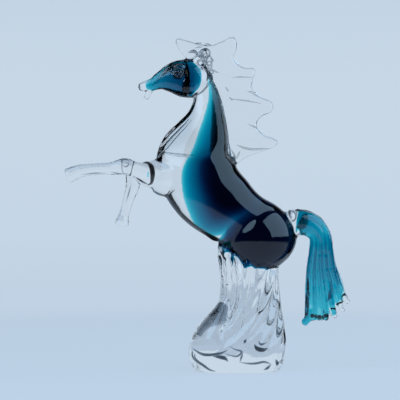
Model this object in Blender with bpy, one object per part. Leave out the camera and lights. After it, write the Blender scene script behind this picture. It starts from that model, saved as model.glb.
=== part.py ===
"""Crystal horse figurine: a rearing horse of hot-worked glass, fused into one solid.

Metres, +Z up. The horse faces -X and its left side is towards -Y. It stands on the flat
underside of its foot, whose centre is the origin. The pose and the proportions are given
in figure units, one three-hundredth of the overall height.
"""

import math

import bmesh
import bpy
from mathutils import Vector

# Driving sizes in metres
HEIGHT = 0.300
MANE_THICKNESS = 0.0046
MANE_LOCK_RADIUS = 0.0031
TAIL_STRAND_RADIUS = 0.0028
RIB_DEPTH = 0.0011
LEG_STRAND_RADIUS = 0.0042
EYE_RADIUS = 0.0029
LIP_RADIUS = 0.0026
FORELEG_SPREAD = 0.0150

# Counts of what repeats
RIB_COUNT = 12
TAIL_STRAND_COUNT = 14

# Figure unit: the poses below are counted in it
UNIT = HEIGHT / 300

# Facets: sides of a section, rings of a rounded end, and segments and rings of an ellipsoid
TRUNK_SIDES = 20
SWELL_SIDES = 16
CHEST_SIDES = 16
TAIL_SIDES = 14
HEAD_SIDES = 14
LIMB_SIDES = 12
SMALL_FORM_SIDES = 10
STRAND_SIDES = 6
SIDES_PER_RIB = 4
DOME_RINGS = 2
STRAND_DOME_RINGS = 1
CURVED_STEPS = 2
HAUNCH_FACETS = (22, 12)
SMALL_FACETS = (10, 7)
MANE_CURVE_STEPS = 2
WELD_DISTANCE = 0.00001

# Rounded ends: length of the dome as a share of the end's smaller half size
DOME_SHARE = 0.7
HOOF_DOME_SHARE = 0.35
SWELL_DOME_SHARE = 0.3

# Strands and locks thin out to this share of their radius at the tip
STRAND_TIP_SHARE = 0.8
LOCK_TIP_SHARE = 0.55

# Share by which the sections of trunk and chest go from ovals to flat-sided ones with round ends
TRUNK_ROUNDNESS = 0.8

# Glass
GLASS_COLOUR = (0.80, 0.88, 0.93, 1.0)
GLASS_ROUGHNESS = 0.02
GLASS_IOR = 1.5

# Stations of the lofts: x, y, z, half width in the plane of the pose, half depth across it
NECK_AND_TRUNK = [
    (-31.0, 0, 268.0, 5.0, 6.0),
    (-29.0, 0, 259.0, 8.0, 7.5),
    (-26.5, 0, 245.0, 11.5, 9.0),
    (-27.0, 0, 229.5, 16.5, 11.0),
    (-30.9, 0, 213.5, 24.4, 13.5),
    (-37.6, 0, 194.0, 32.7, 18.0),
    (-36.0, 0, 180.0, 35.0, 21.5),
    (-26.0, 0, 161.5, 34.0, 24.5),
    (-10.5, 0, 147.0, 31.5, 25.0),
    (5.5, 0, 135.0, 27.5, 24.5),
    (20.0, 0, 125.0, 28.5, 24.0),
    (30.5, 0, 117.0, 27.0, 22.5),
    (39.5, 0, 110.5, 20.0, 17.0),
]
CHEST_MASS = [
    (-44.0, 0, 174.5, 20.0, 17.5),
    (-55.0, 0, 174.0, 19.0, 17.0),
    (-65.0, 0, 173.9, 17.6, 15.5),
    (-73.0, 0, 176.0, 13.8, 14.0),
    (-80.0, 0, 176.2, 11.0, 12.5),
    (-87.0, 0, 179.0, 8.3, 11.0),
]
RAISED_FORELEG = [
    (-66.0, 0, 177.0, 8.5, 7.0),
    (-77.0, 0, 177.5, 8.0, 7.0),
    (-87.0, 0, 179.5, 7.2, 6.6),
    (-96.5, 0, 182.0, 7.0, 6.4),
    (-104.0, 0, 182.5, 6.8, 6.2),
    (-112.0, 0, 181.3, 5.6, 5.2),
    (-123.0, 0, 180.8, 5.3, 5.0),
    (-134.5, 0, 179.8, 5.6, 5.1),
    (-143.0, 0, 177.8, 6.2, 5.6),
    (-150.0, 0, 174.6, 7.0, 6.4),
]
BENT_FOREARM = [
    (-66.0, 0, 176.0, 8.5, 7.0),
    (-77.0, 0, 177.0, 8.0, 7.0),
    (-87.0, 0, 180.0, 7.2, 6.6),
    (-94.0, 0, 181.5, 6.8, 6.2),
    (-99.0, 0, 182.0, 5.4, 5.4),
]
BENT_SHIN = [
    (-94.0, 0, 182.0, 6.4, 5.8),
    (-92.6, 0, 173.0, 7.0, 6.0),
    (-93.8, 0, 163.5, 6.2, 5.5),
    (-97.0, 0, 154.5, 5.0, 4.9),
    (-99.6, 0, 145.0, 4.6, 4.6),
    (-101.6, 0, 138.5, 5.0, 5.0),
    (-103.2, 0, 131.5, 6.8, 6.2),
]
HEAD = [
    (-85.5, 0, 254.6, 3.6, 3.4),
    (-81.0, 0, 255.6, 4.6, 4.2),
    (-74.5, 0, 257.2, 5.8, 4.8),
    (-68.5, 0, 260.0, 8.2, 6.2),
    (-61.0, 0, 262.0, 12.5, 8.0),
    (-53.5, 0, 262.7, 15.8, 9.8),
    (-46.0, 0, 262.4, 17.2, 11.0),
    (-38.0, 0, 262.0, 17.0, 11.2),
    (-31.0, 0, 261.2, 14.2, 9.8),
    (-26.0, 0, 260.6, 8.6, 6.6),
]
NOSE_RIDGE = [
    (-82.5, 0, 258.6, 1.6, 2.0),
    (-74.0, 0, 261.4, 2.0, 2.4),
    (-66.0, 0, 267.4, 2.4, 2.8),
    (-57.0, 0, 273.6, 2.8, 3.6),
    (-47.0, 0, 276.6, 3.0, 4.6),
    (-38.0, 0, 275.8, 3.0, 4.2),
]
TAIL_ROOT = [
    (44.0, 0, 132.5, 10.0, 8.5),
    (54.0, 0, 133.0, 11.0, 9.6),
    (62.5, 0, 132.4, 10.6, 9.8),
    (70.6, 0, 128.2, 9.8, 9.2),
]
TAIL_FAN = [
    (76.0, 0, 120.0, 9.2, 8.4),
    (76.8, 0, 108.0, 10.8, 7.0),
    (77.0, 0, 92.0, 13.8, 5.2),
    (79.4, 0, 75.0, 17.8, 3.6),
    (80.5, 0, 61.0, 17.8, 2.2),
]
SWELL = [
    (-7.0, -4.0, 67.0, 5.0, 10.5),
    (-10.5, -4.5, 56.0, 8.6, 16.0),
    (-14.0, -5.0, 44.5, 13.6, 22.0),
    (-18.0, -5.0, 33.5, 17.8, 26.5),
    (-20.0, -4.0, 22.0, 21.4, 28.0),
    (-17.5, -2.0, 13.0, 18.0, 24.0),
]

# Haunches: centre and half sizes
HAUNCH_CENTRE = (21.5, 0, 119.5)
HAUNCH_SIZE = (31.3, 29.5, 31.0)

# Hind legs and foot: height, centre x, half width, half depth
HIND_LEGS = [
    (0.0, 1.0, 37.0, 27.0),
    (1.6, 1.0, 39.6, 30.0),
    (6.0, 0.8, 41.4, 32.6),
    (13.5, 0.2, 43.2, 34.0),
    (24.5, 1.8, 42.8, 33.4),
    (34.0, 4.4, 39.2, 30.6),
    (44.0, 8.4, 34.0, 26.6),
    (54.0, 11.4, 28.8, 23.4),
    (64.0, 12.4, 26.6, 21.4),
    (76.0, 12.4, 25.8, 20.0),
    (88.0, 12.0, 25.6, 19.4),
    (98.0, 10.5, 24.6, 18.6),
    (106.0, 5.5, 21.0, 17.4),
    (118.0, 2.5, 15.5, 13.0),
]

# Ribs of the hind legs: they grow between two heights, and turn with the height
RIB_FADE_START = 14.0
RIB_FADE_END = 36.0
TWIST_PER_UNIT = 0.017

# Notch between the two lobes of the foot: it fades out between two heights
FOOT_NOTCH_ANGLE = math.radians(-88)
FOOT_NOTCH_WIDTH = math.radians(13)
FOOT_NOTCH_DEPTH = 3.2
FOOT_NOTCH_FADE_START = 10.4
FOOT_NOTCH_FADE_END = 26.0

# Strands pulled down over the hind legs: angle at the top and at the bottom, then both heights
LEG_STRANDS = [
    (-168, -160, 114.0, 62.0),
    (-138, -141, 108.0, 54.0),
    (-115, -122, 102.0, 48.0),
    (-90, -107, 98.0, 43.0),
    (-27, -14, 98.0, 40.0),
    (166, 160, 112.0, 60.0),
    (134, 130, 106.0, 50.0),
    (100, 112, 100.0, 42.0),
    (30, 18, 98.0, 38.0),
]
LEG_STRAND_POINTS = 5
LEG_STRAND_SINK = 1.6

# Mane outline: tips and notches, from the forelock round to the withers and back inside the neck
MANE_OUTLINE = [
    (-53.5, 297.5), (-46.0, 297.0), (-34.0, 293.6), (-22.5, 292.4), (-11.0, 296.4), (-3.0, 299.6),
    (0.3, 295.5), (-0.2, 287.0), (-2.4, 280.6), (2.0, 274.6), (9.5, 271.8), (16.6, 271.0),
    (16.8, 266.5), (14.4, 259.0), (13.4, 251.4), (22.5, 245.4), (31.5, 241.4),
    (33.6, 236.6), (30.0, 231.6), (21.5, 227.6), (18.6, 219.8), (25.0, 211.6),
    (34.0, 208.4), (37.4, 204.6), (33.0, 200.6), (22.0, 196.2), (9.0, 191.4), (-1.5, 186.0),
    (-14.0, 203.0), (-20.0, 232.0), (-28.0, 258.0), (-37.0, 272.5), (-46.5, 282.5), (-53.0, 291.5),
]

# Mane thickness: each half is a flat share and a bevelled share of the whole
MANE_FLAT_SHARE = 0.2
MANE_BEVEL_SHARE = 0.3

# Raised locks of the mane: root and tip, with the side they lean to
MANE_LOCKS = [
    ((-31.0, 272.0), (-49.0, 292.0), -0.9),
    ((-27.0, 272.0), (-22.0, 289.0), 0.7),
    ((-25.0, 268.0), (-5.0, 294.0), -0.6),
    ((-22.5, 262.0), (10.5, 267.0), 0.8),
    ((-19.0, 250.0), (9.0, 256.0), -0.8),
    ((-16.0, 238.0), (27.0, 238.0), 0.6),
    ((-12.0, 222.0), (14.0, 225.0), -0.7),
    ((-8.5, 206.0), (31.0, 205.5), 0.8),
    ((-5.0, 196.0), (14.0, 198.0), -0.6),
]
LOCK_SAG = 1.5

# Small forms on the head
EYE_PLACE = (-51.0, 9.6, 266.8)
EAR = [(-36.0, 273.0, 3.2), (-33.5, 279.0, 3.6), (-30.0, 285.0, 3.0), (-27.5, 288.5, 1.6)]
EAR_SPREAD = (4.0, 6.5)
EAR_DEPTH_SHARE = 0.8
LOWER_LIP = [(-77.0, 0.3, 252.5), (-78.6, 0.3, 249.0), (-80.6, 0.3, 245.6)]

# Bump on the knee of the raised foreleg
KNEE_BUMP = (-99.5, 186.4)
KNEE_BUMP_SIZE = (8.0, 5.0, 4.0)

# Two gathers of the collar between rump and tail: centre and half sizes
COLLAR_GATHERS = [((50.0, 0.0, 137.6), (5.2, 10.5, 7.2)), ((54.6, 0.0, 125.4), (4.4, 9.5, 5.8))]

# Tail tips: a straight row below, then an arc that sweeps up at the back
TAIL_ROW_SHARE = 0.42
TAIL_ROW_START = 63.5
TAIL_ARC_CENTRE = (79.0, 74.0)
TAIL_ARC_RADII = (24.0, 28.0)
TAIL_ARC_ANGLE = math.radians(73)
TAIL_TOE = [(67.0, 0.0, 53.0), (65.4, 0.0, 47.0), (61.6, 0.0, 42.8)]
TAIL_TOE_RADIUS = 0.0034
TAIL_FAN_FILL = 0.85
TAIL_FREE_END = 9.0
TAIL_STAGGER = 0.8


def clear_scene():
    """Take the default objects out of the file."""
    for obj in list(bpy.data.objects):
        bpy.data.objects.remove(obj, do_unlink=True)


def make_collection(name):
    """New collection in the scene."""
    collection = bpy.data.collections.new(name)
    bpy.context.scene.collection.children.link(collection)
    return collection


def make_glass():
    """Clear glass."""
    material = bpy.data.materials.new("clear_glass")
    material.use_nodes = True
    shader = material.node_tree.nodes["Principled BSDF"]
    shader.inputs["Base Color"].default_value = GLASS_COLOUR
    shader.inputs["Roughness"].default_value = GLASS_ROUGHNESS
    shader.inputs["Metallic"].default_value = 0.0
    shader.inputs["IOR"].default_value = GLASS_IOR
    shader.inputs["Transmission Weight"].default_value = 1.0
    return material


def blend_four(before, start, end, after, share):
    """Catmull-Rom value between start and end, for tuples of equal length."""
    square = share * share
    cube = square * share
    blended = []
    for a, b, c, d in zip(before, start, end, after):
        slope = c - a
        bend = 2 * a - 5 * b + 4 * c - d
        twist = 3 * b - a - 3 * c + d
        blended.append(0.5 * (2 * b + slope * share + bend * square + twist * cube))
    return tuple(blended)


def smooth_stations(stations, steps):
    """Stations of a smooth curve through the given ones, with a number of steps between two."""
    first = tuple(2 * a - b for a, b in zip(stations[0], stations[1]))
    last = tuple(2 * a - b for a, b in zip(stations[-1], stations[-2]))
    padded = [first, *stations, last]
    result = []
    for k in range(len(stations) - 1):
        for step in range(steps):
            result.append(blend_four(*padded[k:k + 4], step / steps))
    result.append(stations[-1])
    return result


def add_object(name, mesh, collection):
    """Object with smooth shading in a collection."""
    mesh.shade_smooth()
    obj = bpy.data.objects.new(name, mesh)
    collection.objects.link(obj)
    return obj


def skin_rings(name, rings, collection, start_pole=None, end_pole=None):
    """Closed mesh over rings of points; an end without a pole is a flat face."""
    bm = bmesh.new()
    loops = [[bm.verts.new(point) for point in ring] for ring in rings]
    count = len(rings[0])
    for near, far in zip(loops, loops[1:]):
        for k in range(count):
            bm.faces.new((near[k], near[(k + 1) % count], far[(k + 1) % count], far[k]))
    for loop, pole in ((loops[0], start_pole), (loops[-1], end_pole)):
        if pole is None:
            bm.faces.new(loop)
            continue
        tip = bm.verts.new(pole)
        for k in range(count):
            bm.faces.new((loop[k], loop[(k + 1) % count], tip))
    bmesh.ops.recalc_face_normals(bm, faces=bm.faces)
    mesh = bpy.data.meshes.new(name)
    bm.to_mesh(mesh)
    bm.free()
    return add_object(name, mesh, collection)


def section(centre, tangent, half_width, half_depth, sides, roundness):
    """Ellipse square to the tangent, its long axes in the plane of the pose and along Y.

    With roundness 1 its two ends are half circles and its sides are flat.
    """
    across = Vector((-tangent.z, 0, tangent.x)).normalized()
    radius = min(half_width, half_depth)
    flat = half_width - radius
    points = []
    for k in range(sides):
        angle = 2 * math.pi * (k + 0.5) / sides
        oval = half_width * math.cos(angle)
        capsule = radius * math.cos(angle) + math.copysign(flat, math.cos(angle))
        wide = across * (oval + (capsule - oval) * roundness)
        deep = Vector((0, half_depth * math.sin(angle), 0))
        points.append((centre + wide + deep) * UNIT)
    return points


def dome(station, tangent, bulge, sides, roundness):
    """Rings and pole that round off an end; a negative bulge lies against the tangent."""
    centre = Vector(station[:3])
    count = DOME_RINGS if sides > STRAND_SIDES else STRAND_DOME_RINGS
    rings = []
    for ring in range(1, count + 1):
        angle = math.pi / 2 * ring / (count + 1)
        place = centre + tangent * (bulge * math.sin(angle))
        shrink = math.cos(angle)
        rings.append(section(place, tangent, station[3] * shrink, station[4] * shrink, sides, roundness))
    return rings, (centre + tangent * bulge) * UNIT


def add_loft(name, stations, collection, sides=LIMB_SIDES, steps=1, bulge=DOME_SHARE, roundness=0.0):
    """Rounded loft through stations; the bulge is the dome's length as a share of the end's half size."""
    dense = smooth_stations(stations, steps)
    centres = [Vector(station[:3]) for station in dense]
    tangents = []
    for k in range(len(dense)):
        tangents.append((centres[min(k + 1, len(dense) - 1)] - centres[max(k - 1, 0)]).normalized())
    rings = [
        section(centre, tangent, station[3], station[4], sides, roundness)
        for centre, tangent, station in zip(centres, tangents, dense)
    ]
    start_rings, start_pole = dome(dense[0], tangents[0], -bulge * min(dense[0][3:5]), sides, roundness)
    end_rings, end_pole = dome(dense[-1], tangents[-1], bulge * min(dense[-1][3:5]), sides, roundness)
    return skin_rings(name, start_rings[::-1] + rings + end_rings, collection, start_pole, end_pole)


def shifted(stations, y):
    """Stations moved across the pose, in figure units."""
    return [(x, y + side, z, width, depth) for x, side, z, width, depth in stations]


def tube_stations(points, radius, tip_share=1.0):
    """Round stations along points; the radius, in metres, runs out to a share of itself at the tip."""
    result = []
    for k, (x, y, z) in enumerate(points):
        share = 1 + (tip_share - 1) * k / (len(points) - 1)
        result.append((x, y, z, radius / UNIT * share, radius / UNIT * share))
    return result


def add_ellipsoid(name, centre, half_sizes, collection, facets=SMALL_FACETS):
    """Ellipsoid, its centre and half sizes in figure units."""
    bm = bmesh.new()
    bmesh.ops.create_uvsphere(bm, u_segments=facets[0], v_segments=facets[1], radius=1.0)
    bmesh.ops.scale(bm, vec=Vector(half_sizes) * UNIT, verts=bm.verts)
    bmesh.ops.translate(bm, vec=Vector(centre) * UNIT, verts=bm.verts)
    mesh = bpy.data.meshes.new(name)
    bm.to_mesh(mesh)
    bm.free()
    return add_object(name, mesh, collection)


def fade(value, start, end):
    """Smooth step from 0 at start to 1 at end."""
    share = min(max((value - start) / (end - start), 0.0), 1.0)
    return share * share * (3 - 2 * share)


def leg_ring(height, centre_x, half_width, half_depth):
    """One level of the hind legs and foot: an oval with twisted ribs and the notch between two lobes."""
    sides = RIB_COUNT * SIDES_PER_RIB
    rib = RIB_DEPTH / UNIT * fade(height, RIB_FADE_START, RIB_FADE_END)
    notch = FOOT_NOTCH_DEPTH * (1 - fade(height, FOOT_NOTCH_FADE_START, FOOT_NOTCH_FADE_END))
    points = []
    for k in range(sides):
        angle = 2 * math.pi * k / sides + TWIST_PER_UNIT * height
        wave = rib * math.cos(RIB_COUNT * (angle - TWIST_PER_UNIT * height))
        turn = math.remainder(angle - FOOT_NOTCH_ANGLE, 2 * math.pi)
        dent = notch * math.exp(-((turn / FOOT_NOTCH_WIDTH) ** 2))
        x = centre_x + (half_width + wave - dent) * math.cos(angle)
        y = (half_depth + wave - dent) * math.sin(angle)
        points.append(Vector((x, y, height)) * UNIT)
    return points


def leg_oval(height):
    """Centre x, half width and half depth of the hind legs at a height."""
    for low, high in zip(HIND_LEGS, HIND_LEGS[1:]):
        if height <= high[0]:
            share = (height - low[0]) / (high[0] - low[0])
            return [a + (b - a) * share for a, b in zip(low[1:], high[1:])]
    return HIND_LEGS[-1][1:]


def leg_strand_points(top_angle, bottom_angle, top, bottom):
    """Points of a strand that runs down the surface of the hind legs, part sunk in it."""
    points = []
    for k in range(LEG_STRAND_POINTS):
        share = k / (LEG_STRAND_POINTS - 1)
        angle = math.radians(top_angle + (bottom_angle - top_angle) * share)
        height = top + (bottom - top) * share
        centre_x, half_width, half_depth = leg_oval(height)
        x = centre_x + (half_width - LEG_STRAND_SINK) * math.cos(angle)
        y = (half_depth - LEG_STRAND_SINK) * math.sin(angle)
        points.append((x, y, height))
    return points


def add_hind_legs(collection):
    """Twisted hind legs standing on a foot with a flat underside."""
    skin_rings("hind_legs", [leg_ring(*level) for level in HIND_LEGS], collection)
    add_loft("foot_swell", SWELL, collection, sides=SWELL_SIDES, bulge=SWELL_DOME_SHARE)
    for k, strand in enumerate(LEG_STRANDS, 1):
        stations = tube_stations(leg_strand_points(*strand), LEG_STRAND_RADIUS, STRAND_TIP_SHARE)
        add_loft(f"leg_strand_{k}", stations, collection, sides=STRAND_SIDES)


def add_body(collection):
    """Haunches and the chest mass that holds the forelegs."""
    add_ellipsoid("haunches", HAUNCH_CENTRE, HAUNCH_SIZE, collection, HAUNCH_FACETS)
    add_loft("chest_mass", CHEST_MASS, collection, sides=CHEST_SIDES, roundness=TRUNK_ROUNDNESS)


def add_forelegs(collection):
    """Near foreleg reaching forward, far one folded down at the knee."""
    side = FORELEG_SPREAD / 2 / UNIT
    add_loft("raised_foreleg", shifted(RAISED_FORELEG, -side), collection, bulge=HOOF_DOME_SHARE)
    add_loft("bent_forearm", shifted(BENT_FOREARM, side), collection)
    add_loft("bent_shin", shifted(BENT_SHIN, side), collection, bulge=HOOF_DOME_SHARE)
    add_ellipsoid("knee_bump", (KNEE_BUMP[0], -side, KNEE_BUMP[1]), KNEE_BUMP_SIZE, collection)


def add_head(collection):
    """Head with its nose ridge, lips, eyes and ears."""
    add_loft("head", HEAD, collection, sides=HEAD_SIDES)
    add_loft("nose_ridge", NOSE_RIDGE, collection, sides=SMALL_FORM_SIDES)
    add_loft("lower_lip", tube_stations(LOWER_LIP, LIP_RADIUS), collection, sides=SMALL_FORM_SIDES)
    for side, label in ((-1, "near"), (1, "far")):
        x, y, z = EYE_PLACE
        eye = EYE_RADIUS / UNIT
        add_ellipsoid(f"{label}_eye", (x, side * y, z), (eye, eye, eye), collection)
        start, end = EAR_SPREAD
        stations = []
        for k, (ear_x, ear_z, radius) in enumerate(EAR):
            lean = start + (end - start) * k / (len(EAR) - 1)
            stations.append((ear_x, side * lean, ear_z, radius, radius * EAR_DEPTH_SHARE))
        add_loft(f"{label}_ear", stations, collection, sides=SMALL_FORM_SIDES)


def add_mane_sheet(collection):
    """Flat mane with lobed edge, as an extruded outline."""
    curve = bpy.data.curves.new("mane_outline", "CURVE")
    curve.dimensions = "2D"
    curve.fill_mode = "BOTH"
    curve.resolution_u = MANE_CURVE_STEPS
    curve.extrude = MANE_THICKNESS * MANE_FLAT_SHARE
    curve.bevel_depth = MANE_THICKNESS * MANE_BEVEL_SHARE
    curve.bevel_resolution = 0
    curve.offset = -curve.bevel_depth
    spline = curve.splines.new("BEZIER")
    spline.use_cyclic_u = True
    spline.bezier_points.add(len(MANE_OUTLINE) - 1)
    for point, (x, z) in zip(spline.bezier_points, MANE_OUTLINE):
        point.co = Vector((x, z, 0)) * UNIT
        point.handle_left_type = "AUTO"
        point.handle_right_type = "AUTO"
    outline = bpy.data.objects.new("mane_outline", curve)
    outline.rotation_euler = (math.radians(90), 0, 0)
    collection.objects.link(outline)
    bpy.context.view_layer.update()
    evaluated = outline.evaluated_get(bpy.context.evaluated_depsgraph_get())
    mesh = bpy.data.meshes.new_from_object(evaluated)
    bm = bmesh.new()
    bm.from_mesh(mesh)
    bmesh.ops.remove_doubles(bm, verts=bm.verts, dist=WELD_DISTANCE)
    bmesh.ops.recalc_face_normals(bm, faces=bm.faces)
    bm.to_mesh(mesh)
    bm.free()
    sheet = add_object("mane_sheet", mesh, collection)
    sheet.matrix_world = outline.matrix_world.copy()
    bpy.data.objects.remove(outline, do_unlink=True)
    bpy.data.curves.remove(curve)


def add_mane_locks(collection):
    """Raised locks that sag a little between root and tip and lean to one face of the mane."""
    for k, (root, tip, lean) in enumerate(MANE_LOCKS, 1):
        middle = ((root[0] + tip[0]) / 2, (root[1] + tip[1]) / 2 - LOCK_SAG)
        points = [(root[0], 0.0, root[1]), (middle[0], lean, middle[1]), (tip[0], lean / 2, tip[1])]
        stations = tube_stations(points, MANE_LOCK_RADIUS, LOCK_TIP_SHARE)
        add_loft(f"mane_lock_{k}", stations, collection, sides=STRAND_SIDES)


def tail_tip(share):
    """Tip of one tail strand in the plane of the pose."""
    centre_x, centre_z = TAIL_ARC_CENTRE
    wide, tall = TAIL_ARC_RADII
    if share < TAIL_ROW_SHARE:
        return TAIL_ROW_START + (centre_x - TAIL_ROW_START) * share / TAIL_ROW_SHARE, centre_z - tall
    angle = TAIL_ARC_ANGLE * (share - TAIL_ROW_SHARE) / (1 - TAIL_ROW_SHARE)
    return centre_x + wide * math.sin(angle), centre_z - tall * math.cos(angle)


def tail_strand_points(share, side):
    """Middle line of one tail strand; its share runs from 0 at the front to 1 at the back."""
    tip_x, tip_z = tail_tip(share)
    points = []
    for x, _, z, width, _ in TAIL_FAN[:-1]:
        if z - tip_z > TAIL_FREE_END:
            points.append((x + (2 * share - 1) * TAIL_FAN_FILL * width, side, z))
    points.append((tip_x, side, tip_z))
    return points


def add_tail(collection):
    """Tail: a bent root that thins to a sheet, covered by rounded strands, and the collar at the rump."""
    add_loft("tail_sheet", TAIL_ROOT + TAIL_FAN, collection, sides=TAIL_SIDES, steps=CURVED_STEPS)
    for k in range(TAIL_STRAND_COUNT):
        side = TAIL_STAGGER if k % 2 else -TAIL_STAGGER
        points = tail_strand_points(k / (TAIL_STRAND_COUNT - 1), side)
        stations = tube_stations(points, TAIL_STRAND_RADIUS, STRAND_TIP_SHARE)
        add_loft(f"tail_strand_{k + 1}", stations, collection, sides=STRAND_SIDES)
    toe = tube_stations(TAIL_TOE, TAIL_TOE_RADIUS)
    add_loft("tail_toe", toe, collection, sides=SMALL_FORM_SIDES, steps=CURVED_STEPS)
    for k, (centre, size) in enumerate(COLLAR_GATHERS, 1):
        add_ellipsoid(f"collar_gather_{k}", centre, size, collection)


def fuse(horse, forms):
    """Join every form to the trunk; the forms stay as guides that are not shown."""
    for form in forms.objects:
        form.hide_render = True
        form.display_type = "WIRE"
    union = horse.modifiers.new("fused", "BOOLEAN")
    union.operation = "UNION"
    union.solver = "EXACT"
    union.operand_type = "COLLECTION"
    union.collection = forms


def main():
    clear_scene()
    figurine = make_collection("crystal horse figurine")
    forms = make_collection("fused forms")
    horse = add_loft(
        "crystal_horse", NECK_AND_TRUNK, figurine,
        sides=TRUNK_SIDES, steps=CURVED_STEPS, roundness=TRUNK_ROUNDNESS)
    add_body(forms)
    add_hind_legs(forms)
    add_forelegs(forms)
    add_head(forms)
    add_mane_sheet(forms)
    add_mane_locks(forms)
    add_tail(forms)
    fuse(horse, forms)
    horse.data.materials.append(make_glass())


main()
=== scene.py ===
"""Looks of the crystal horse figurine.

A rearing horse of hot-worked glass: one clear body with blue glass sealed in its head, in its neck, trunk
and haunches, and in its tail, and with a few air bubbles above the foot. The horse faces -X and the camera
looks along +Y. Forms are given in figure units, some 300 to the height, and scaled by UNIT.
"""

import math

import bmesh
import bpy
import numpy as np
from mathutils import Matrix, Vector
from mathutils.bvhtree import BVHTree


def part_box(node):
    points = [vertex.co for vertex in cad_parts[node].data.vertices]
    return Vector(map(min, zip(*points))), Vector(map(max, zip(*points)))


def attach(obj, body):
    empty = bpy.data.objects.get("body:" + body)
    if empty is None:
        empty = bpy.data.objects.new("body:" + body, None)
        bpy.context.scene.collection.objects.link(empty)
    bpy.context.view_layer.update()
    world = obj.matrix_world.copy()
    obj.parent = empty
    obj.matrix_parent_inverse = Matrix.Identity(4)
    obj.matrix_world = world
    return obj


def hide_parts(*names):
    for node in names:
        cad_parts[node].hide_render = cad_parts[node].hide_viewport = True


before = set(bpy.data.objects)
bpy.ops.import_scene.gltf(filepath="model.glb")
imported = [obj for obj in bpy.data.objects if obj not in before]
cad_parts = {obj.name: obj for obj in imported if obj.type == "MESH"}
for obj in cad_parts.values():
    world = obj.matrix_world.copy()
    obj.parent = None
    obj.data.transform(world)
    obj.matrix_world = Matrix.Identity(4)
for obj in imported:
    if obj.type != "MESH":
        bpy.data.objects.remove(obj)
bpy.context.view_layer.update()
body_low, body_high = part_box("crystal_horse")

# Figure unit: the top of the mane is this many units above the ground
TOP_UNITS = 299.6
UNIT = (body_high.z - body_low.z) / TOP_UNITS

# Sizes of the small forms in figure units, and numbers of ribs and strands
MANE_THICKNESS = 4.6
LOCK_RADIUS = 3.1
TAIL_STRAND_RADIUS = 2.8
RIB_DEPTH = 1.1
LEG_STRAND_RADIUS = 4.2
EYE_RADIUS = 2.9
LIP_RADIUS = 2.6
FORELEG_SIDE = 7.5
RIB_COUNT = 12
TAIL_STRAND_COUNT = 14

# Mesh density: voxel sizes and merge distance in figure units, facets of the forms before they melt, and
# smoothing passes that go forward and back by shares of the way
GLASS_VOXEL = 1.15
CORE_VOXEL = 1.3
TAIL_CORE_VOXEL = 0.9
MERGE_DISTANCE = 0.01
LOFT_SIDES = 48
LOFT_STEPS = 6
STRAND_SIDES = 16
DOME_RINGS = 6
SPHERE_FACETS = (48, 32)
BUBBLE_DETAIL = 2
GLASS_SMOOTH_PASSES = 26
CORE_SMOOTH_PASSES = 14
SMOOTH_FORWARD = 0.5
SMOOTH_BACK = -0.52

# Crook behind the neck, smoothed on its own: middle in the plane of the pose, reach and passes
CROOK_CENTRE = (-18.0, 190.0)
CROOK_REACH = 17.0
CROOK_PASSES = 120

# Rounded ends: length of the dome as a share of the end's smaller half size
DOME_SHARE = 0.7
HOOF_DOME_SHARE = 0.35
SWELL_DOME_SHARE = 0.3

# Radius of strands and mane locks at the tip, as a share of the radius at the root
STRAND_TIP_SHARE = 0.8
LOCK_TIP_SHARE = 0.55

# Share by which the sections of trunk and chest go from ovals to flat-sided ones with round ends
TRUNK_ROUNDNESS = 0.35

# Stations of the lofts: x, y, z, half width in the plane of the pose, half depth across it; a sixth value is
# the share of the half width by which the thickest place lies behind the middle line
NECK_AND_TRUNK = [
    (-31, 0, 268, 5, 6, 0),
    (-29, 0, 259, 8, 7.5, 0),
    (-26.5, 0, 245, 11.5, 9, 0.15),
    (-27, 0, 229.5, 16.5, 11, 0.25),
    (-30.9, 0, 213.5, 24.4, 13.5, 0.3),
    (-37.6, 0, 194, 32.7, 18, 0.27),
    (-36, 0, 180, 35, 21.5, 0.15),
    (-26, 0, 161.5, 34, 24.5, 0),
    (-10.5, 0, 147, 31.5, 25, 0),
    (5.5, 0, 135, 27.5, 24.5, 0),
    (20, 0, 125, 28.5, 24, 0),
    (30.5, 0, 117, 27, 22.5, 0),
    (39.5, 0, 110.5, 20, 17, 0),
]
CHEST_MASS = [
    (-44, 0, 174.5, 20, 17.5),
    (-55, 0, 174, 19, 17),
    (-65, 0, 173.9, 17.6, 15.5),
    (-73, 0, 176, 13.8, 14),
    (-80, 0, 176.2, 11, 12.5),
    (-87, 0, 179, 8.3, 11),
]
RAISED_FORELEG = [
    (-66, 0, 177, 8.5, 7),
    (-77, 0, 177.5, 8, 7),
    (-87, 0, 179.5, 7.2, 6.6),
    (-96.5, 0, 182, 7, 6.4),
    (-104, 0, 182.5, 6.8, 6.2),
    (-112, 0, 181.3, 5.6, 5.2),
    (-123, 0, 180.8, 5.3, 5),
    (-134.5, 0, 179.8, 5.6, 5.1),
    (-143, 0, 177.8, 6.2, 5.6),
    (-150, 0, 174.6, 7, 6.4),
]
BENT_FOREARM = [
    (-66, 0, 176, 8.5, 7),
    (-77, 0, 177, 8, 7),
    (-87, 0, 180, 7.2, 6.6),
    (-94, 0, 181.5, 6.8, 6.2),
    (-99, 0, 182, 5.4, 5.4),
]
BENT_SHIN = [
    (-94, 0, 182, 6.4, 5.8),
    (-92.6, 0, 173, 7, 6),
    (-93.8, 0, 163.5, 6.2, 5.5),
    (-97, 0, 154.5, 5, 4.9),
    (-99.6, 0, 145, 4.6, 4.6),
    (-101.6, 0, 138.5, 5, 5),
    (-103.2, 0, 131.5, 6.8, 6.2),
]
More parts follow.
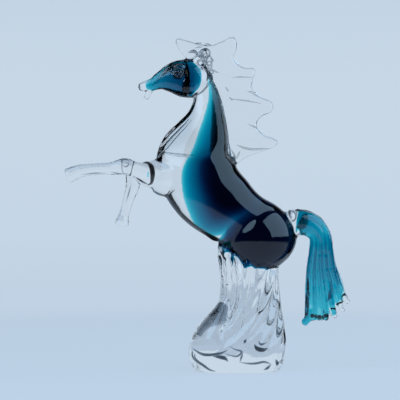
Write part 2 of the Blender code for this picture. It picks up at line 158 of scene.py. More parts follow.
HEAD = [
    (-85.5, 0, 254.6, 3.6, 3.4),
    (-81, 0, 255.6, 4.6, 4.2),
    (-74.5, 0, 257.2, 5.8, 4.8),
    (-68.5, 0, 260, 8.2, 6.2),
    (-61, 0, 262, 12.5, 8),
    (-53.5, 0, 262.7, 15.8, 9.8),
    (-46, 0, 262.4, 17.2, 11),
    (-38, 0, 262, 17, 11.2),
    (-31, 0, 261.2, 14.2, 9.8),
    (-26, 0, 260.6, 8.6, 6.6),
]
NOSE_RIDGE = [
    (-82.5, 0, 258.6, 1.6, 2),
    (-74, 0, 261.4, 2, 2.4),
    (-66, 0, 267.4, 2.4, 2.8),
    (-57, 0, 273.6, 2.8, 3.6),
    (-47, 0, 276.6, 3, 4.6),
    (-38, 0, 275.8, 3, 4.2),
]
TAIL_ROOT = [
    (44, 0, 132.5, 10, 8.5),
    (54, 0, 133, 11, 9.6),
    (62.5, 0, 132.4, 10.6, 9.8),
    (70.6, 0, 128.2, 9.8, 9.2),
]
TAIL_FAN = [
    (76, 0, 120, 9.2, 8.4),
    (76.8, 0, 108, 10.8, 7),
    (77, 0, 92, 13.8, 5.2),
    (79.4, 0, 75, 17.8, 3.6),
    (80.5, 0, 61, 17.8, 2.2),
]
SWELL = [
    (-7, -4, 67, 5, 10.5),
    (-10.5, -4.5, 56, 8.6, 16),
    (-14, -5, 44.5, 13.6, 22),
    (-18, -5, 33.5, 17.8, 26.5),
    (-20, -4, 22, 21.4, 28),
    (-17.5, -2, 13, 18, 24),
]
HAUNCH_CENTRE = (21.5, 0, 119.5)
HAUNCH_SIZE = (31.3, 29.5, 31.0)

# Hind legs and foot: height, centre x, half width, half depth
HIND_LEGS = [
    (0, 1, 37, 27),
    (1.6, 1, 39.6, 30),
    (6, 0.8, 41.4, 32.6),
    (13.5, 0.2, 43.2, 34),
    (24.5, 1.8, 42.8, 33.4),
    (34, 4.4, 39.2, 30.6),
    (44, 8.4, 34, 26.6),
    (54, 11.4, 28.8, 23.4),
    (64, 12.4, 26.6, 21.4),
    (76, 12.4, 25.8, 20),
    (88, 12, 25.6, 19.4),
    (98, 10.5, 24.6, 18.6),
    (106, 5.5, 21, 17.4),
    (118, 2.5, 15.5, 13),
]

# Facets round the legs, steps between two heights, heights over which the ribs set in, and their twist
LEG_RING_SIDES = 144
LEG_LEVEL_STEPS = 4
RIB_FADE = (14.0, 36.0)
TWIST_PER_UNIT = 0.017

# Notch between the two lobes of the foot
NOTCH_ANGLE = math.radians(-88)
NOTCH_WIDTH = math.radians(13)
NOTCH_DEPTH = 3.2
NOTCH_FADE = (10.4, 26.0)

# Height at which the skin is cut off, and how far above it points still go down to the ground, as a factor
FOOT_CUT = 0.3
FOOT_CUT_SLACK = 1.01

# Strands pulled down over the hind legs: angle at the top and at the bottom, then both heights
LEG_STRANDS = [
    (-168, -160, 114, 62),
    (-138, -141, 108, 54),
    (-115, -122, 102, 48),
    (-90, -107, 98, 43),
    (-27, -14, 98, 40),
    (166, 160, 112, 60),
    (134, 130, 106, 50),
    (100, 112, 100, 42),
    (30, 18, 98, 38),
]
LEG_STRAND_POINTS = 5
LEG_STRAND_SINK = 1.6

# Mane outline: x and z of tips and notches, from the forelock to the withers and back inside the neck
MANE_OUTLINE = [
    (-53.5, 297.5), (-46, 297), (-34, 293.6), (-22.5, 292.4), (-11, 296.4), (-3, 299.6),
    (0.3, 295.5), (-0.2, 287), (-2.4, 280.6), (2, 274.6), (9.5, 271.8), (16.6, 271),
    (16.8, 266.5), (14.4, 259), (13.4, 251.4), (22.5, 245.4), (31.5, 241.4),
    (33.6, 236.6), (30, 231.6), (21.5, 227.6), (18.6, 219.8), (25, 211.6),
    (34, 208.4), (37.4, 204.6), (33, 200.6), (22, 196.2), (9, 191.4), (-1.5, 186),
    (-14, 203), (-20, 232), (-28, 258), (-37, 272.5), (-46.5, 282.5), (-53, 291.5),
]
MANE_CURVE_STEPS = 6

# Its edge: steps of the rounding, and shares of the mane's thickness that stay flat and that are rounded
MANE_BEVEL_STEPS = 3
MANE_FLAT_SHARE = 0.2
MANE_BEVEL_SHARE = 0.3

# Raised locks on the mane: root and tip, and how far the middle lies to one side; each sags a little
MANE_LOCKS = [
    ((-31, 272), (-49, 292), -0.9),
    ((-27, 272), (-22, 289), 0.7),
    ((-25, 268), (-5, 294), -0.6),
    ((-22.5, 262), (10.5, 267), 0.8),
    ((-19, 250), (9, 256), -0.8),
    ((-16, 238), (27, 238), 0.6),
    ((-12, 222), (14, 225), -0.7),
    ((-8.5, 206), (31, 205.5), 0.8),
    ((-5, 196), (14, 198), -0.6),
]
LOCK_SAG = 1.5

# Small forms on the head: ears as x, z and radius, brow and cheek as centre and half sizes
EYE_PLACE = (-51.0, 9.6, 266.8)
EAR = [(-36.0, 273.0, 3.2), (-33.5, 279.0, 3.6), (-30.0, 285.0, 3.0), (-27.5, 288.5, 1.6)]
EAR_SPREAD = (4.0, 6.5)
EAR_DEPTH_SHARE = 0.8
BROW = ((-51.5, 7.6, 272.0), (6.6, 3.6, 2.4))
CHEEK = ((-43.0, 5.4, 257.4), (9.0, 6.6, 10.4))
LOWER_LIP = [(-77.0, 0.3, 252.5), (-78.6, 0.3, 249.0), (-80.6, 0.3, 245.6)]

# Bump on the knee of the raised foreleg, and the gathers of the tail collar: places and half sizes
KNEE_BUMP = (-99.5, 186.4)
KNEE_BUMP_SIZE = (8.0, 5.0, 4.0)
COLLAR_GATHERS = [((50.0, 0.0, 137.6), (5.2, 10.5, 7.2)), ((54.6, 0.0, 125.4), (4.4, 9.5, 5.8))]

# Tail tips: a straight row below, then an arc that sweeps up at the back
TAIL_ROW_SHARE = 0.42
TAIL_ROW_START = 63.5
TAIL_ARC_CENTRE = (79.0, 74.0)
TAIL_ARC_RADII = (24.0, 28.0)
TAIL_ARC_ANGLE = math.radians(73)

# Curled toe at the front of the tail
TAIL_TOE = [(67.0, 0.0, 53.0), (65.4, 0.0, 47.0), (61.6, 0.0, 42.8)]
TAIL_TOE_RADIUS = 3.4

# Strands of the tail: share of the fan's width that they fill, length that hangs free at the tips, and how
# far they lie out by turns, as a share of the fan's half depth
TAIL_FAN_FILL = 0.85
TAIL_FREE_END = 9.0
TAIL_STAGGER = 0.72

# Every second strand at the back is shorter by a length, which sets in this fast behind the straight row
TAIL_SHORT_TIP = 7.0
TAIL_SHORT_RISE = 4

# First of the tail's stations that the strands follow, and the steps over which they come out of the middle
TAIL_STRAND_START = 1
TAIL_STRAND_RISE = (-1, 4)

# Middle line of the blue glass in the neck and trunk: two places of its own, then the trunk's stations
CORE_LINE = [(-28.4, 0, 264.0), (-28.2, 0, 257.0)] + [station[:3] for station in NECK_AND_TRUNK[2:-1]]

# Blue and dark glass along that line: front edge and back edge, measured across the trunk from the line, and
# thickness as a share of the trunk's half depth
TRUNK_CORE = [
    (1.8, 4.6, 0.60), (1.8, 6.8, 0.80), (1.2, 9.6, 0.86), (-1.4, 14.8, 0.90), (-2.8, 22.2, 0.93),
    (-3, 30.4, 0.94), (-12, 32.8, 0.94), (-20, 31.9, 0.94), (-26.5, 29.5, 0.94), (-10.5, 25.5, 0.93),
    (-8, 26, 0.90), (-8, 24, 0.86),
]
DARK_CORE = [
    (2.4, 4.2, 0.60), (3.2, 6.4, 0.74), (3.8, 9.6, 0.80), (4.4, 15, 0.86), (7.5, 22.4, 0.88),
    (13.5, 30, 0.88), (16.5, 32, 0.86), (14, 31, 0.80),
]

# How they thicken from the front edge back: slopes, a blunt nose, and a second slope from a place on
WEDGE_SLOPE = 0.47
DARK_SLOPE = 0.9
WEDGE_NOSE = 0.8
WEDGE_NOSE_LENGTH = 1.5
WEDGE_SWELL_FROM = 14.0
WEDGE_SWELL_SLOPE = 0.6
WEDGE_SIDES = 25

# Blue glass in the haunches and the thigh
HAUNCH_CORE_SIZE = (29.2, 21.0, 29.0)
THIGH_CORE_CENTRE = (-3.0, 0, 115.0)
THIGH_CORE_SIZE = (10.0, 16.0, 11.0)

# Thin blue seam in the crease before the thigh, dark glass under the belly as painted shade of the dark room
# that the clear belly mirrors, and dark glass at the root of the tail
CREASE_SEAM = [
    (-3.4, -6, 130.6, 1.8, 3),
    (-9.6, -8, 123.6, 1.9, 3),
    (-15.2, -8, 116.8, 1.6, 2.6),
]
BELLY_PAINTED_SHADE = [
    (-34.5, 0, 127.6, 0.9, 8),
    (-27, 0, 123.8, 2.4, 12),
    (-20, 0, 120, 3.4, 13),
    (-16.6, 0, 118.4, 3, 12),
]
TAIL_ROOT_DARK = [
    (58.5, 0, 133.6, 8, 2.6),
    (60, 0, 132.5, 7, 2),
    (62.5, 0, 130, 4, 1.4),
]

# Dark lines in the shoulder, each with its radius, and a blue spot beside them
SHOULDER_DARK = [
    [(-84.6, -7, 185.4), (-79.4, -8, 186), (-75.8, -8.6, 181.6), (-74.6, -9, 175.8),
     (-75.2, -8.6, 169.4), (-78.8, -7.6, 166.4)],
    [(-78, -7.6, 166.6), (-85, -8.6, 170.2), (-92, -9, 175)],
]
SHOULDER_DARK_RADII = (2.4, 1.2)
SHOULDER_SPOT = ((-78.6, -9.0, 176.0), (1.5, 1.2, 3.0))

# Dark lines in the tail collar
COLLAR_LINES = [
    [(46.8, -4.4, 141), (50, -5, 142.6), (53, -7, 139), (51.4, -7.6, 134.5), (48, -7.6, 137)],
    [(53.4, -4.4, 129.6), (56.6, -5.4, 128.4), (57.2, -6, 124.2), (54, -6, 121.8), (51.8, -6, 125)],
]
COLLAR_LINE_RADIUS = 0.9

# Tinted glass: a metre of it takes away one minus the tint, times the density, from each colour
BLUE_TINT = (0.0, 0.83, 0.885)
NAVY_TINT = (0.0, 0.45, 0.60)
BLACK_TINT = (0.02, 0.02, 0.04)
SMOKE_TINT = (0.26, 0.32, 0.38)
TRUNK_BLUE_DENSITY = 960.0
HEAD_BLUE_DENSITY = 980.0
TAIL_BLUE_DENSITY = 880.0
NAVY_DENSITY = 800.0
BLACK_DENSITY = 400.0
INK_DENSITY = 900.0
SMOKE_DENSITY = 1100.0
ROD_DENSITY = 500.0

# All glass: base colour, and refraction, where sealed glass matches the clear glass around it
WHITE = (1.0, 1.0, 1.0)
GLASS_IOR = 1.5
SEALED_IOR = 1.0

# Waves of the clear skin: noise scale per metre, detail, strength, and depth in metres
WAVE_SCALE = 80.0
WAVE_DETAIL = 1.0
WAVE_STRENGTH = 0.10
WAVE_DISTANCE = 0.0005

# Blue glass in the head
HEAD_CORE = [
    (-79.5, 0, 255.6, 3, 2.4),
    (-74.5, 0, 256.6, 4.6, 3.4),
    (-68.5, 0, 258.8, 6.6, 4.6),
    (-61, 0, 260.8, 10.3, 6.2),
    (-53.5, 0, 261.9, 13.4, 7.8),
    (-46, 0, 262.2, 14.6, 9),
    (-40, 0, 262.2, 13.5, 8.4),
    (-36.5, 0, 261.8, 9.5, 6),
]

# Dark threads in the head: x, depth across the head, z, radius
HEAD_DARK_THREADS = [
    [(-66.2, 4, 264, 0.6), (-62.8, 5, 267.4, 1.5), (-58.7, 6, 270.2, 1.7), (-53.6, 6.4, 273.6, 1.2),
     (-47.4, 6.4, 274.8, 0.6)],
    # painted shade: this upright thread behind the eye gives the dark band of the cheek edge
    [(-44.6, 7.6, 273, 1), (-43.6, 9, 267, 2), (-43.6, 9.4, 260, 1.7), (-44.2, 8, 252, 1.5)],
    [(-64.8, 4, 252.8, 0.6), (-54.6, 6, 250.2, 1.4), (-45, 7, 247.8, 1.6)],
    [(-58.2, 7.4, 268, 0.9), (-57, 7.6, 267, 1.1)],
    [(-46.4, 9, 269.6, 1.6), (-45.4, 9.4, 267.6, 1.8), (-44.6, 9.4, 265.6, 1.4)],
]

# Blue glass in the tail: a first station, then the tail's from a number on, all sunk below the skin
TAIL_CORE_FIRST = (57.5, 0, 133.0, 10.6, 9.6)
TAIL_CORE_NEXT = 2
TAIL_CORE_SINK = 0.8

# Its sheet thins out over some stations, as shares of the tail's half depth, down to a least thickness
TAIL_CORE_SHEET_TOP = 0.50
TAIL_CORE_SHEET = 0.26
TAIL_CORE_SHEET_LEAST = 1.0
TAIL_CORE_THINNING = (0, 4)

# Its strands have three radii by turns, grow towards the back and stop short of the clear tips
TAIL_CORE_RADII = (2.3, 1.2, 1.8)
TAIL_CORE_BACK_SWELL = 0.35
TAIL_CORE_STAGGER = 0.5
TAIL_CORE_STRAND_START = 4
TAIL_CORE_CLEAR_TIP = 8.0

# Navy streaks along the tail, with three radii by turns, and two navy marks in it
TAIL_STREAK_COUNT = 13
TAIL_STREAK_RADII = (1.0, 0.6, 0.8)
TAIL_STREAK_STAGGER = 0.45
TAIL_STREAK_INSET = 7.0
TAIL_STREAK_START = 3
TAIL_MARKS = [
    ([(85, 80), (85.5, 72), (84, 65), (80.5, 61.5)], 1.9),
    ([(72.6, 124.5), (73.8, 121), (74.5, 117.5)], 1),
]

# Dark beads in a row at the end of the tail: x and z
TAIL_BEADS = [(68.6, 49.0), (71.6, 48.4), (74.8, 48.0), (78.2, 47.8), (80.8, 49.0)]
TAIL_BEAD_RADIUS = 1.9

# Air bubbles above the foot: place and radius
BUBBLES = [
    ((-7.2, -8, 77.4), 0.9),
    ((11.7, -10, 74.7), 1),
    ((12.9, -9, 77.2), 0.6),
    ((27.5, -6, 77), 0.9),
    ((29.2, -7, 75), 0.5),
    ((2, 6, 70), 0.7),
    ((18, 8, 82), 0.8),
]

# Fine hollow channels in the mane: x and z of their points, and the radius at the middle
MANE_CHANNELS = [
    ([(-3, 280.8), (0, 276.3), (5.4, 272.7)], 0.8),
    ([(0, 295.2), (0, 288)], 0.5),
    ([(-3.6, 263.2), (5.4, 263.7), (14.4, 263.2)], 0.6),
    ([(14.9, 261.9), (14.6, 256), (14.9, 251.1)], 0.6),
    ([(10.8, 250.6), (17.1, 248.8), (22.5, 245.2)], 1.1),
    ([(-5.4, 243.9), (8.1, 242.5), (22.5, 239.8)], 0.6),
    ([(-9, 253.8), (-7.2, 251.2)], 0.6),
    ([(-5.6, 245), (-3.4, 243)], 0.6),
    ([(31.5, 232.2), (24.3, 229.5), (18.9, 224.1), (18, 220.5)], 0.8),
    ([(10.8, 221.4), (18.9, 217.4), (26.1, 210.6)], 0.8),
    ([(0.9, 202.5), (8.1, 199.8), (17.1, 198.5), (32.4, 199.8)], 1),
    ([(-4.5, 198), (-1.4, 193), (-0.6, 187.5)], 1),
    ([(3.6, 197), (1.8, 193), (0.4, 190)], 0.9),
]

# The same under the skin of both sides, on neck, chest and head
SKIN_CHANNELS = [
    ([(-40, 224.4), (-46.5, 217), (-55, 207.9), (-61.8, 199.4), (-68.1, 193.6)], 1.3),
    ([(-71.1, 189.6), (-67, 193.4), (-63.5, 197.2)], 1.3),
    ([(-69, 191), (-62.9, 194.6), (-55.5, 193), (-46.4, 191.9), (-37.4, 190.3)], 0.9),
    ([(-61, 156.2), (-58.6, 159.6), (-54.8, 162)], 1.3),
    ([(-57.7, 269.7), (-54.6, 271.7), (-50.4, 273.5), (-45.4, 271.9)], 0.8),
    ([(-75.1, 256.8), (-69.9, 260.6), (-66.6, 265), (-61, 269.8), (-53.6, 274.4)], 0.8),
    ([(-25.6, 261.5), (-26.3, 255.3), (-29.5, 250.4), (-35.1, 247.6), (-41.2, 246.8)], 0.8),
]

# Grey lines under the near skin of the forelegs and lips, in the same form
FORELEG_LINES = [
    ([(-109, 186.6), (-104, 188.6), (-99, 189), (-94.5, 186.6)], 0.9),
    ([(-103, 184.4), (-98.5, 182.6), (-96, 184.8), (-99.5, 187)], 0.7),
    ([(-112, 178.6), (-104, 176.8), (-96, 176.4)], 0.8),
    ([(-139, 175.6), (-127, 177.2), (-115, 177.4)], 0.7),
    ([(-153.4, 179.4), (-149, 181.2), (-143, 182.6)], 0.7),
    ([(-155, 170.6), (-151, 169.4), (-146, 171.4)], 0.9),
    ([(-94.2, 168), (-96.4, 160), (-99, 151)], 0.7),
    ([(-107.6, 129.8), (-104, 128), (-99, 128.6)], 0.8),
    ([(-86.4, 252.6), (-88, 255), (-86.6, 257.4)], 0.9),
    ([(-82.2, 244.2), (-80.6, 243.2), (-78.8, 244.8)], 0.9),
]

# Fine hollow channels under the near skin of the hind legs
LEG_CHANNELS = [
    ([(-17, 109), (-15.5, 102.5), (-13.5, 93)], 1.2),
    ([(-14, 107), (-10.5, 101), (-9.5, 96.5)], 1.5),
    ([(-1.5, 95), (0, 86), (1.5, 74), (0, 60), (-1, 55.5)], 0.8),
    ([(-3.5, 86), (-4, 69.5), (-5, 60), (-4.5, 55.5)], 0.8),
    ([(9.5, 74), (9, 65.5), (7, 57), (6, 51.5), (0.5, 47), (-4.5, 44.5)], 0.9),
    ([(12, 71), (12, 64), (10.5, 54), (6, 46), (4.5, 40), (0.5, 35.5), (-2.5, 31)], 0.8),
    ([(24.5, 67), (20, 56.5), (15.5, 46), (11, 38), (9.5, 33)], 0.8),
    ([(32, 75.5), (31, 64), (28, 53), (23, 43.5), (19, 36.5)], 0.9),
    ([(35.5, 60.5), (34.5, 53), (33.5, 46.5)], 0.8),
    ([(30.5, 90.5), (30, 84.5), (30.5, 77.5)], 1.2),
]

# Grey lines under the near skin of the foot
FOOT_LINES = [
    ([(-39, 22), (-36, 20), (-30.5, 17.5), (-25.5, 17), (-19, 17.5), (-13.5, 18.5), (-8.5, 21)], 1.6),
    ([(-39, 20.5), (-38.5, 14), (-34.5, 8.5)], 1.4),
    ([(-36.5, 17), (-36.5, 13.5), (-34, 10), (-29, 7), (-23.5, 3.5), (-18.5, 2.5)], 1.6),
    ([(-20.5, 15.5), (-15, 15), (-10.5, 14), (-8, 11.5)], 1.9),
    ([(-10.5, 18.5), (-5, 16.5), (0, 16), (3.5, 18.5), (3.5, 20.5), (-1.5, 22), (-6.5, 24.5)], 1.1),
    ([(5.5, 20), (4, 15), (2.5, 10.5)], 1.1),
    ([(2.5, 10.5), (9.5, 9.5), (16.5, 9.5), (23, 10.5), (27, 9.5), (30, 8)], 1.2),
    ([(30, 8), (27, 5), (23.5, 3.5)], 1.5),
    ([(15.5, 25.5), (17.5, 22.5), (22.5, 21), (26.5, 22)], 2.2),
    ([(19, 29), (21, 26), (26.5, 27.5)], 1.2),
    ([(34, 11.5), (35.5, 8), (35, 6)], 2.2),
    ([(8, 30.5), (7, 29), (6, 27)], 1.4),
]

# Clear glass over channels and lines, then the facets of such rods and their radius at the tips as a share
CHANNEL_COVER = 0.7
THREAD_SIDES = 10
THREAD_STEPS = 4
THREAD_TIP_SHARE = 0.3
RING_POINTS = 32

# Grey streaked glass in the swell of the foot
SWELL_SMOKE = [
    (-13, -9, 60, 3, 1),
    (-14, -9, 53, 6.5, 0.9),
    (-19, -9, 46, 7.5, 0.9),
    (-26, -9, 38, 6, 0.8),
    (-30, -9, 30.5, 4.6, 0.6),
]

# Ring and ball of grey glass on each eye: half size and rod of the ring, how far out it lies, ball's radius
EYE_RING = 3.9
EYE_RING_ROD = 0.7
EYE_RING_OUT = 1.4
EYE_BALL = 1.3

# Dark rings and pupil under them: half size and rod of each ring, and how deep they lie
EYE_DARK_RINGS = [(3.9, 0.9), (2.2, 0.5)]
EYE_DARK_SINK = 1.6

# Rings and rods of grey glass on the poll: centre, two half sizes and rod, then points and radius
POLL_RINGS = [
    ((-27.5, -4, 284.7), 3.8, 3.8, 0.9),
    ((-32, -4.5, 275.7), 2.6, 2.8, 0.8),
    ((-24.3, -4, 277.7), 2.4, 4.2, 0.8),
    ((-22.7, -5, 267.6), 1.9, 1.6, 0.7),
    ((-28.6, 4, 282), 3.2, 3.8, 0.9),
    ((-24, 4.5, 274.5), 2.4, 3.4, 0.8),
]
POLL_THREADS = [
    ([(-42.8, -3, 285.4), (-37.7, -3.4, 286.4), (-33.5, -3.6, 283.3)], 1.7),
    ([(-36, -1.6, 293.6), (-31.6, -1.6, 293.8)], 0.7),
    ([(-28.3, -1.6, 293.4), (-25, -1.8, 292.8), (-22.2, -1.6, 291.6)], 0.8),
    ([(-37.2, -2, 289.6), (-33.6, -2.4, 290.2), (-30.4, -2, 290.4)], 0.7),
    ([(-29.4, -4.6, 280.8), (-27.4, -5.2, 276.7), (-28.4, -5.8, 271), (-26.3, -5.8, 266.4)], 0.9),
    ([(-22.7, -3.4, 280.3), (-21.4, -3.6, 279), (-20.1, -3.4, 277.2)], 1),
    ([(-21.9, -4, 270.6), (-18.6, -3.2, 268.4), (-15, -2.6, 267.1)], 0.8),
    ([(-31.6, -5.4, 271.8), (-31, -5.6, 270.4), (-30.4, -5.4, 269.4)], 1.4),
    ([(-36, 3, 285), (-31, 4, 281), (-27, 5.2, 275), (-25, 5.6, 268)], 1.2),
]

# Backdrop as the camera sees it: linear colours at heights of the view, up to a span each way
BACKDROP_STOPS = [
    (-0.140, (0.515, 0.631, 0.760)),
    (-0.090, (0.515, 0.631, 0.760)),
    (-0.020, (0.560, 0.672, 0.791)),
    (0.080, (0.571, 0.680, 0.791)),
    (0.140, (0.546, 0.658, 0.776)),
]
BACKDROP_SPAN = 0.2

# Studio as glass shows it: pale backdrop and table, dim room, and where the one goes over into the other
PALE = (0.571, 0.680, 0.791)
ROOM_REFLECTED = 0.02
ROOM_REFRACTED = 0.10
TABLE_SHARE = 0.75
BACKDROP_EDGE = (0.62, 0.90)
BACKDROP_EDGE_REFRACTED = (0.30, 0.60)
TABLE_EDGE = (-0.30, -0.12)

# Camera: place and nearest distance in metres, lens in millimetres
CAMERA_PLACE = (-0.0324, -1.25, 0.153)
CAMERA_LENS = 125.0
CAMERA_NEAR = 0.05

# Soft lights: shape, place, point aimed at, width, height, radiance
SOFTBOX_COLOUR = (0.45, 0.72, 1.0)
RIGHT_SOFTBOX = ("RECTANGLE", (0.74, -0.30, 0.66), (0.0, 0.0, 0.16), 1.4, 1.2, 2.6)
LEFT_SOFTBOX = ("ELLIPSE", (-0.58, -0.46, 0.77), (0.0, 0.0, 0.15), 0.86, 1.00, 2.4)

# Tabletop: a disc just below the foot that fades out between two radii
FLOOR_RADIUS = 0.80
FLOOR_FADE = (0.45, 0.784)
FLOOR_SIDES = 96
FLOOR_DROP = 0.0004
FLOOR_EMISSION = 0.93
FLOOR_SHARE_REFRACTED = 0.81
FLOOR_ALBEDO = (0.06, 0.075, 0.09)

# How often light may pass through glass, be mirrored, and pass what is clear
GLASS_BOUNCES = 32
MIRROR_BOUNCES = 10
CLEAR_BOUNCES = 16


def blend_four(before, start, end, after, share):
    """Catmull-Rom value between start and end, for tuples of equal length."""
    square = share * share
    cube = square * share
    blended = []
    for a, b, c, d in zip(before, start, end, after):
        slope = c - a
        bend = 2 * a - 5 * b + 4 * c - d
        twist = 3 * b - a - 3 * c + d
        blended.append(0.5 * (2 * b + slope * share + bend * square + twist * cube))
    return tuple(blended)


def smooth_stations(stations, steps):
    """Stations of a smooth curve through the given ones, with a number of steps between two."""
    first = tuple(2 * a - b for a, b in zip(stations[0], stations[1]))
    last = tuple(2 * a - b for a, b in zip(stations[-1], stations[-2]))
    padded = [first, *stations, last]
    result = []
    for k in range(len(stations) - 1):
        for step in range(steps):
            result.append(blend_four(*padded[k:k + 4], step / steps))
    result.append(tuple(stations[-1]))
    return result


def station_tangents(stations):
    """Direction of the middle line at each station."""
    centres = [Vector(station[:3]) for station in stations]
    last = len(centres) - 1
    return [(centres[min(k + 1, last)] - centres[max(k - 1, 0)]).normalized() for k in range(last + 1)]


def add_mesh_object(name, bm):
    """Object with smooth shading from a bmesh, which is freed."""
    mesh = bpy.data.meshes.new(name)
    bm.to_mesh(mesh)
    bm.free()
    mesh.shade_smooth()
    obj = bpy.data.objects.new(name, mesh)
    bpy.context.scene.collection.objects.link(obj)
    return obj


def bridge(bm, near, far):
    """Faces between two rings of as many points."""
    for k in range(len(near)):
        after = (k + 1) % len(near)
        bm.faces.new((near[k], near[after], far[after], far[k]))


def skin_rings(name, rings, start_pole=None, end_pole=None):
    """Closed mesh over rings of points; an end without a pole is a flat face."""
    bm = bmesh.new()
    loops = [[bm.verts.new(Vector(point) * UNIT) for point in ring] for ring in rings]
    count = len(rings[0])
    for near, far in zip(loops, loops[1:]):
        bridge(bm, near, far)
    for loop, pole in ((loops[0], start_pole), (loops[-1], end_pole)):
        if pole is None:
            bm.faces.new(loop)
            continue
        tip = bm.verts.new(Vector(pole) * UNIT)
        for k in range(count):
            bm.faces.new((loop[k], loop[(k + 1) % count], tip))
    bmesh.ops.recalc_face_normals(bm, faces=bm.faces)
    return add_mesh_object(name, bm)


def across_pose(tangent):
    """Direction square to a tangent, in the plane of the pose."""
    return Vector((-tangent.z, 0, tangent.x)).normalized()


def section(centre, tangent, half_width, half_depth, sides, roundness=0.0, lean=0.0):
    """Ellipse square to the tangent, its long axes in the plane of the pose and along Y.

    With roundness 1 its two ends are half circles and its sides are flat. The lean moves the thickest place
    towards the back.
    """
    across = across_pose(tangent)
    radius = min(half_width, half_depth)
    flat = half_width - radius
    points = []
    for k in range(sides):
        angle = 2 * math.pi * (k + 0.5) / sides
        oval = half_width * math.cos(angle)
        capsule = radius * math.cos(angle) + math.copysign(flat, math.cos(angle))
        wide = oval + (capsule - oval) * roundness
        wide += lean * half_width * (1 - (wide / half_width) ** 2)
        points.append(centre + across * wide + Vector((0, half_depth * math.sin(angle), 0)))
    return points


def dome(station, tangent, bulge, sides, roundness):
    """Rings and pole that round off an end; a negative bulge lies against the tangent."""
    centre = Vector(station[:3])
    rings = []
    for ring in range(1, DOME_RINGS + 1):
        angle = math.pi / 2 * ring / (DOME_RINGS + 1)
        place = centre + tangent * (bulge * math.sin(angle))
        shrink = math.cos(angle)
        rings.append(section(place, tangent, station[3] * shrink, station[4] * shrink, sides, roundness))
    return rings, centre + tangent * bulge


def add_loft(name, stations, sides=LOFT_SIDES, steps=LOFT_STEPS, bulge=DOME_SHARE, roundness=0.0):
    """Rounded loft through stations; the bulge is the dome's length as a share of the end's half size."""
    dense = smooth_stations(stations, steps)
    tangents = station_tangents(dense)
    rings = [
        section(Vector(station[:3]), tangent, station[3], station[4], sides, roundness, *station[5:])
        for tangent, station in zip(tangents, dense)
    ]
    start_rings, start_pole = dome(dense[0], tangents[0], -bulge * min(dense[0][3:5]), sides, roundness)
    end_rings, end_pole = dome(dense[-1], tangents[-1], bulge * min(dense[-1][3:5]), sides, roundness)
    return skin_rings(name, start_rings[::-1] + rings + end_rings, start_pole, end_pole)


def shifted(stations, y):
    """Stations moved across the pose."""
    return [(x, y + side, z, width, depth) for x, side, z, width, depth in stations]


def tube_stations(points, radius, tip_share=1.0):
    """Round stations along points; the radius runs out to a share of itself at the tip."""
    result = []
    for k, (x, y, z) in enumerate(points):
        share = 1 + (tip_share - 1) * k / (len(points) - 1)
        result.append((x, y, z, radius * share, radius * share))
    return result


def add_strand(points, radius, tip_share=STRAND_TIP_SHARE):
    """Round strand of glass through points, thinner towards its end."""
    return add_loft("strand", tube_stations(points, radius, tip_share), sides=STRAND_SIDES)


def add_ellipsoid(name, centre, half_sizes):
    """Ellipsoid, its centre and half sizes in figure units."""
    bm = bmesh.new()
    bmesh.ops.create_uvsphere(bm, u_segments=SPHERE_FACETS[0], v_segments=SPHERE_FACETS[1], radius=1.0)
    bmesh.ops.scale(bm, vec=Vector(half_sizes) * UNIT, verts=bm.verts)
    bmesh.ops.translate(bm, vec=Vector(centre) * UNIT, verts=bm.verts)
    return add_mesh_object(name, bm)


def add_ball(centre, radius):
    """Ball of glass."""
    return add_ellipsoid("ball", centre, (radius,) * 3)


def fade(value, start, end):
    """Smooth step from 0 at start to 1 at end."""
    share = min(max((value - start) / (end - start), 0.0), 1.0)
    return share * share * (3 - 2 * share)


def leg_ring(height, centre_x, half_width, half_depth):
    """One level of the hind legs and foot: an oval with twisted ribs and the notch between two lobes."""
    rib = RIB_DEPTH * fade(height, *RIB_FADE)
    notch = NOTCH_DEPTH * (1 - fade(height, *NOTCH_FADE))
    points = []
    for k in range(LEG_RING_SIDES):
        angle = 2 * math.pi * k / LEG_RING_SIDES + TWIST_PER_UNIT * height
        wave = rib * math.cos(RIB_COUNT * (angle - TWIST_PER_UNIT * height))
        turn = math.remainder(angle - NOTCH_ANGLE, 2 * math.pi)
        dent = notch * math.exp(-((turn / NOTCH_WIDTH) ** 2))
        x = centre_x + (half_width + wave - dent) * math.cos(angle)
        y = (half_depth + wave - dent) * math.sin(angle)
        points.append((x, y, height))
    return points


def leg_oval(height):
    """Centre x, half width and half depth of the hind legs at a height."""
    for low, high in zip(HIND_LEGS, HIND_LEGS[1:]):
        if height <= high[0]:
            share = (height - low[0]) / (high[0] - low[0])
            return [a + (b - a) * share for a, b in zip(low[1:], high[1:])]
    return HIND_LEGS[-1][1:]


def leg_strand_points(top_angle, bottom_angle, top, bottom):
    """Points of a strand that runs down the surface of the hind legs, part sunk in it."""
    points = []
    for k in range(LEG_STRAND_POINTS):
        share = k / (LEG_STRAND_POINTS - 1)
        angle = math.radians(top_angle + (bottom_angle - top_angle) * share)
        height = top + (bottom - top) * share
        centre_x, half_width, half_depth = leg_oval(height)
        x = centre_x + (half_width - LEG_STRAND_SINK) * math.cos(angle)
        y = (half_depth - LEG_STRAND_SINK) * math.sin(angle)
        points.append((x, y, height))
    return points


def make_hind_legs():
    """Twisted hind legs standing on a foot with a flat underside."""
    levels = smooth_stations(HIND_LEGS, LEG_LEVEL_STEPS)
    forms = [skin_rings("hind_legs", [leg_ring(*level) for level in levels])]
    forms.append(add_loft("foot_swell", SWELL, bulge=SWELL_DOME_SHARE))
    forms += [add_strand(leg_strand_points(*strand), LEG_STRAND_RADIUS) for strand in LEG_STRANDS]
    return forms


def make_body():
    """Neck and trunk, haunches and the chest mass that holds the forelegs."""
    return [
        add_loft("trunk", NECK_AND_TRUNK, roundness=TRUNK_ROUNDNESS),
        add_ellipsoid("haunches", HAUNCH_CENTRE, HAUNCH_SIZE),
        add_loft("chest_mass", CHEST_MASS, roundness=TRUNK_ROUNDNESS),
    ]


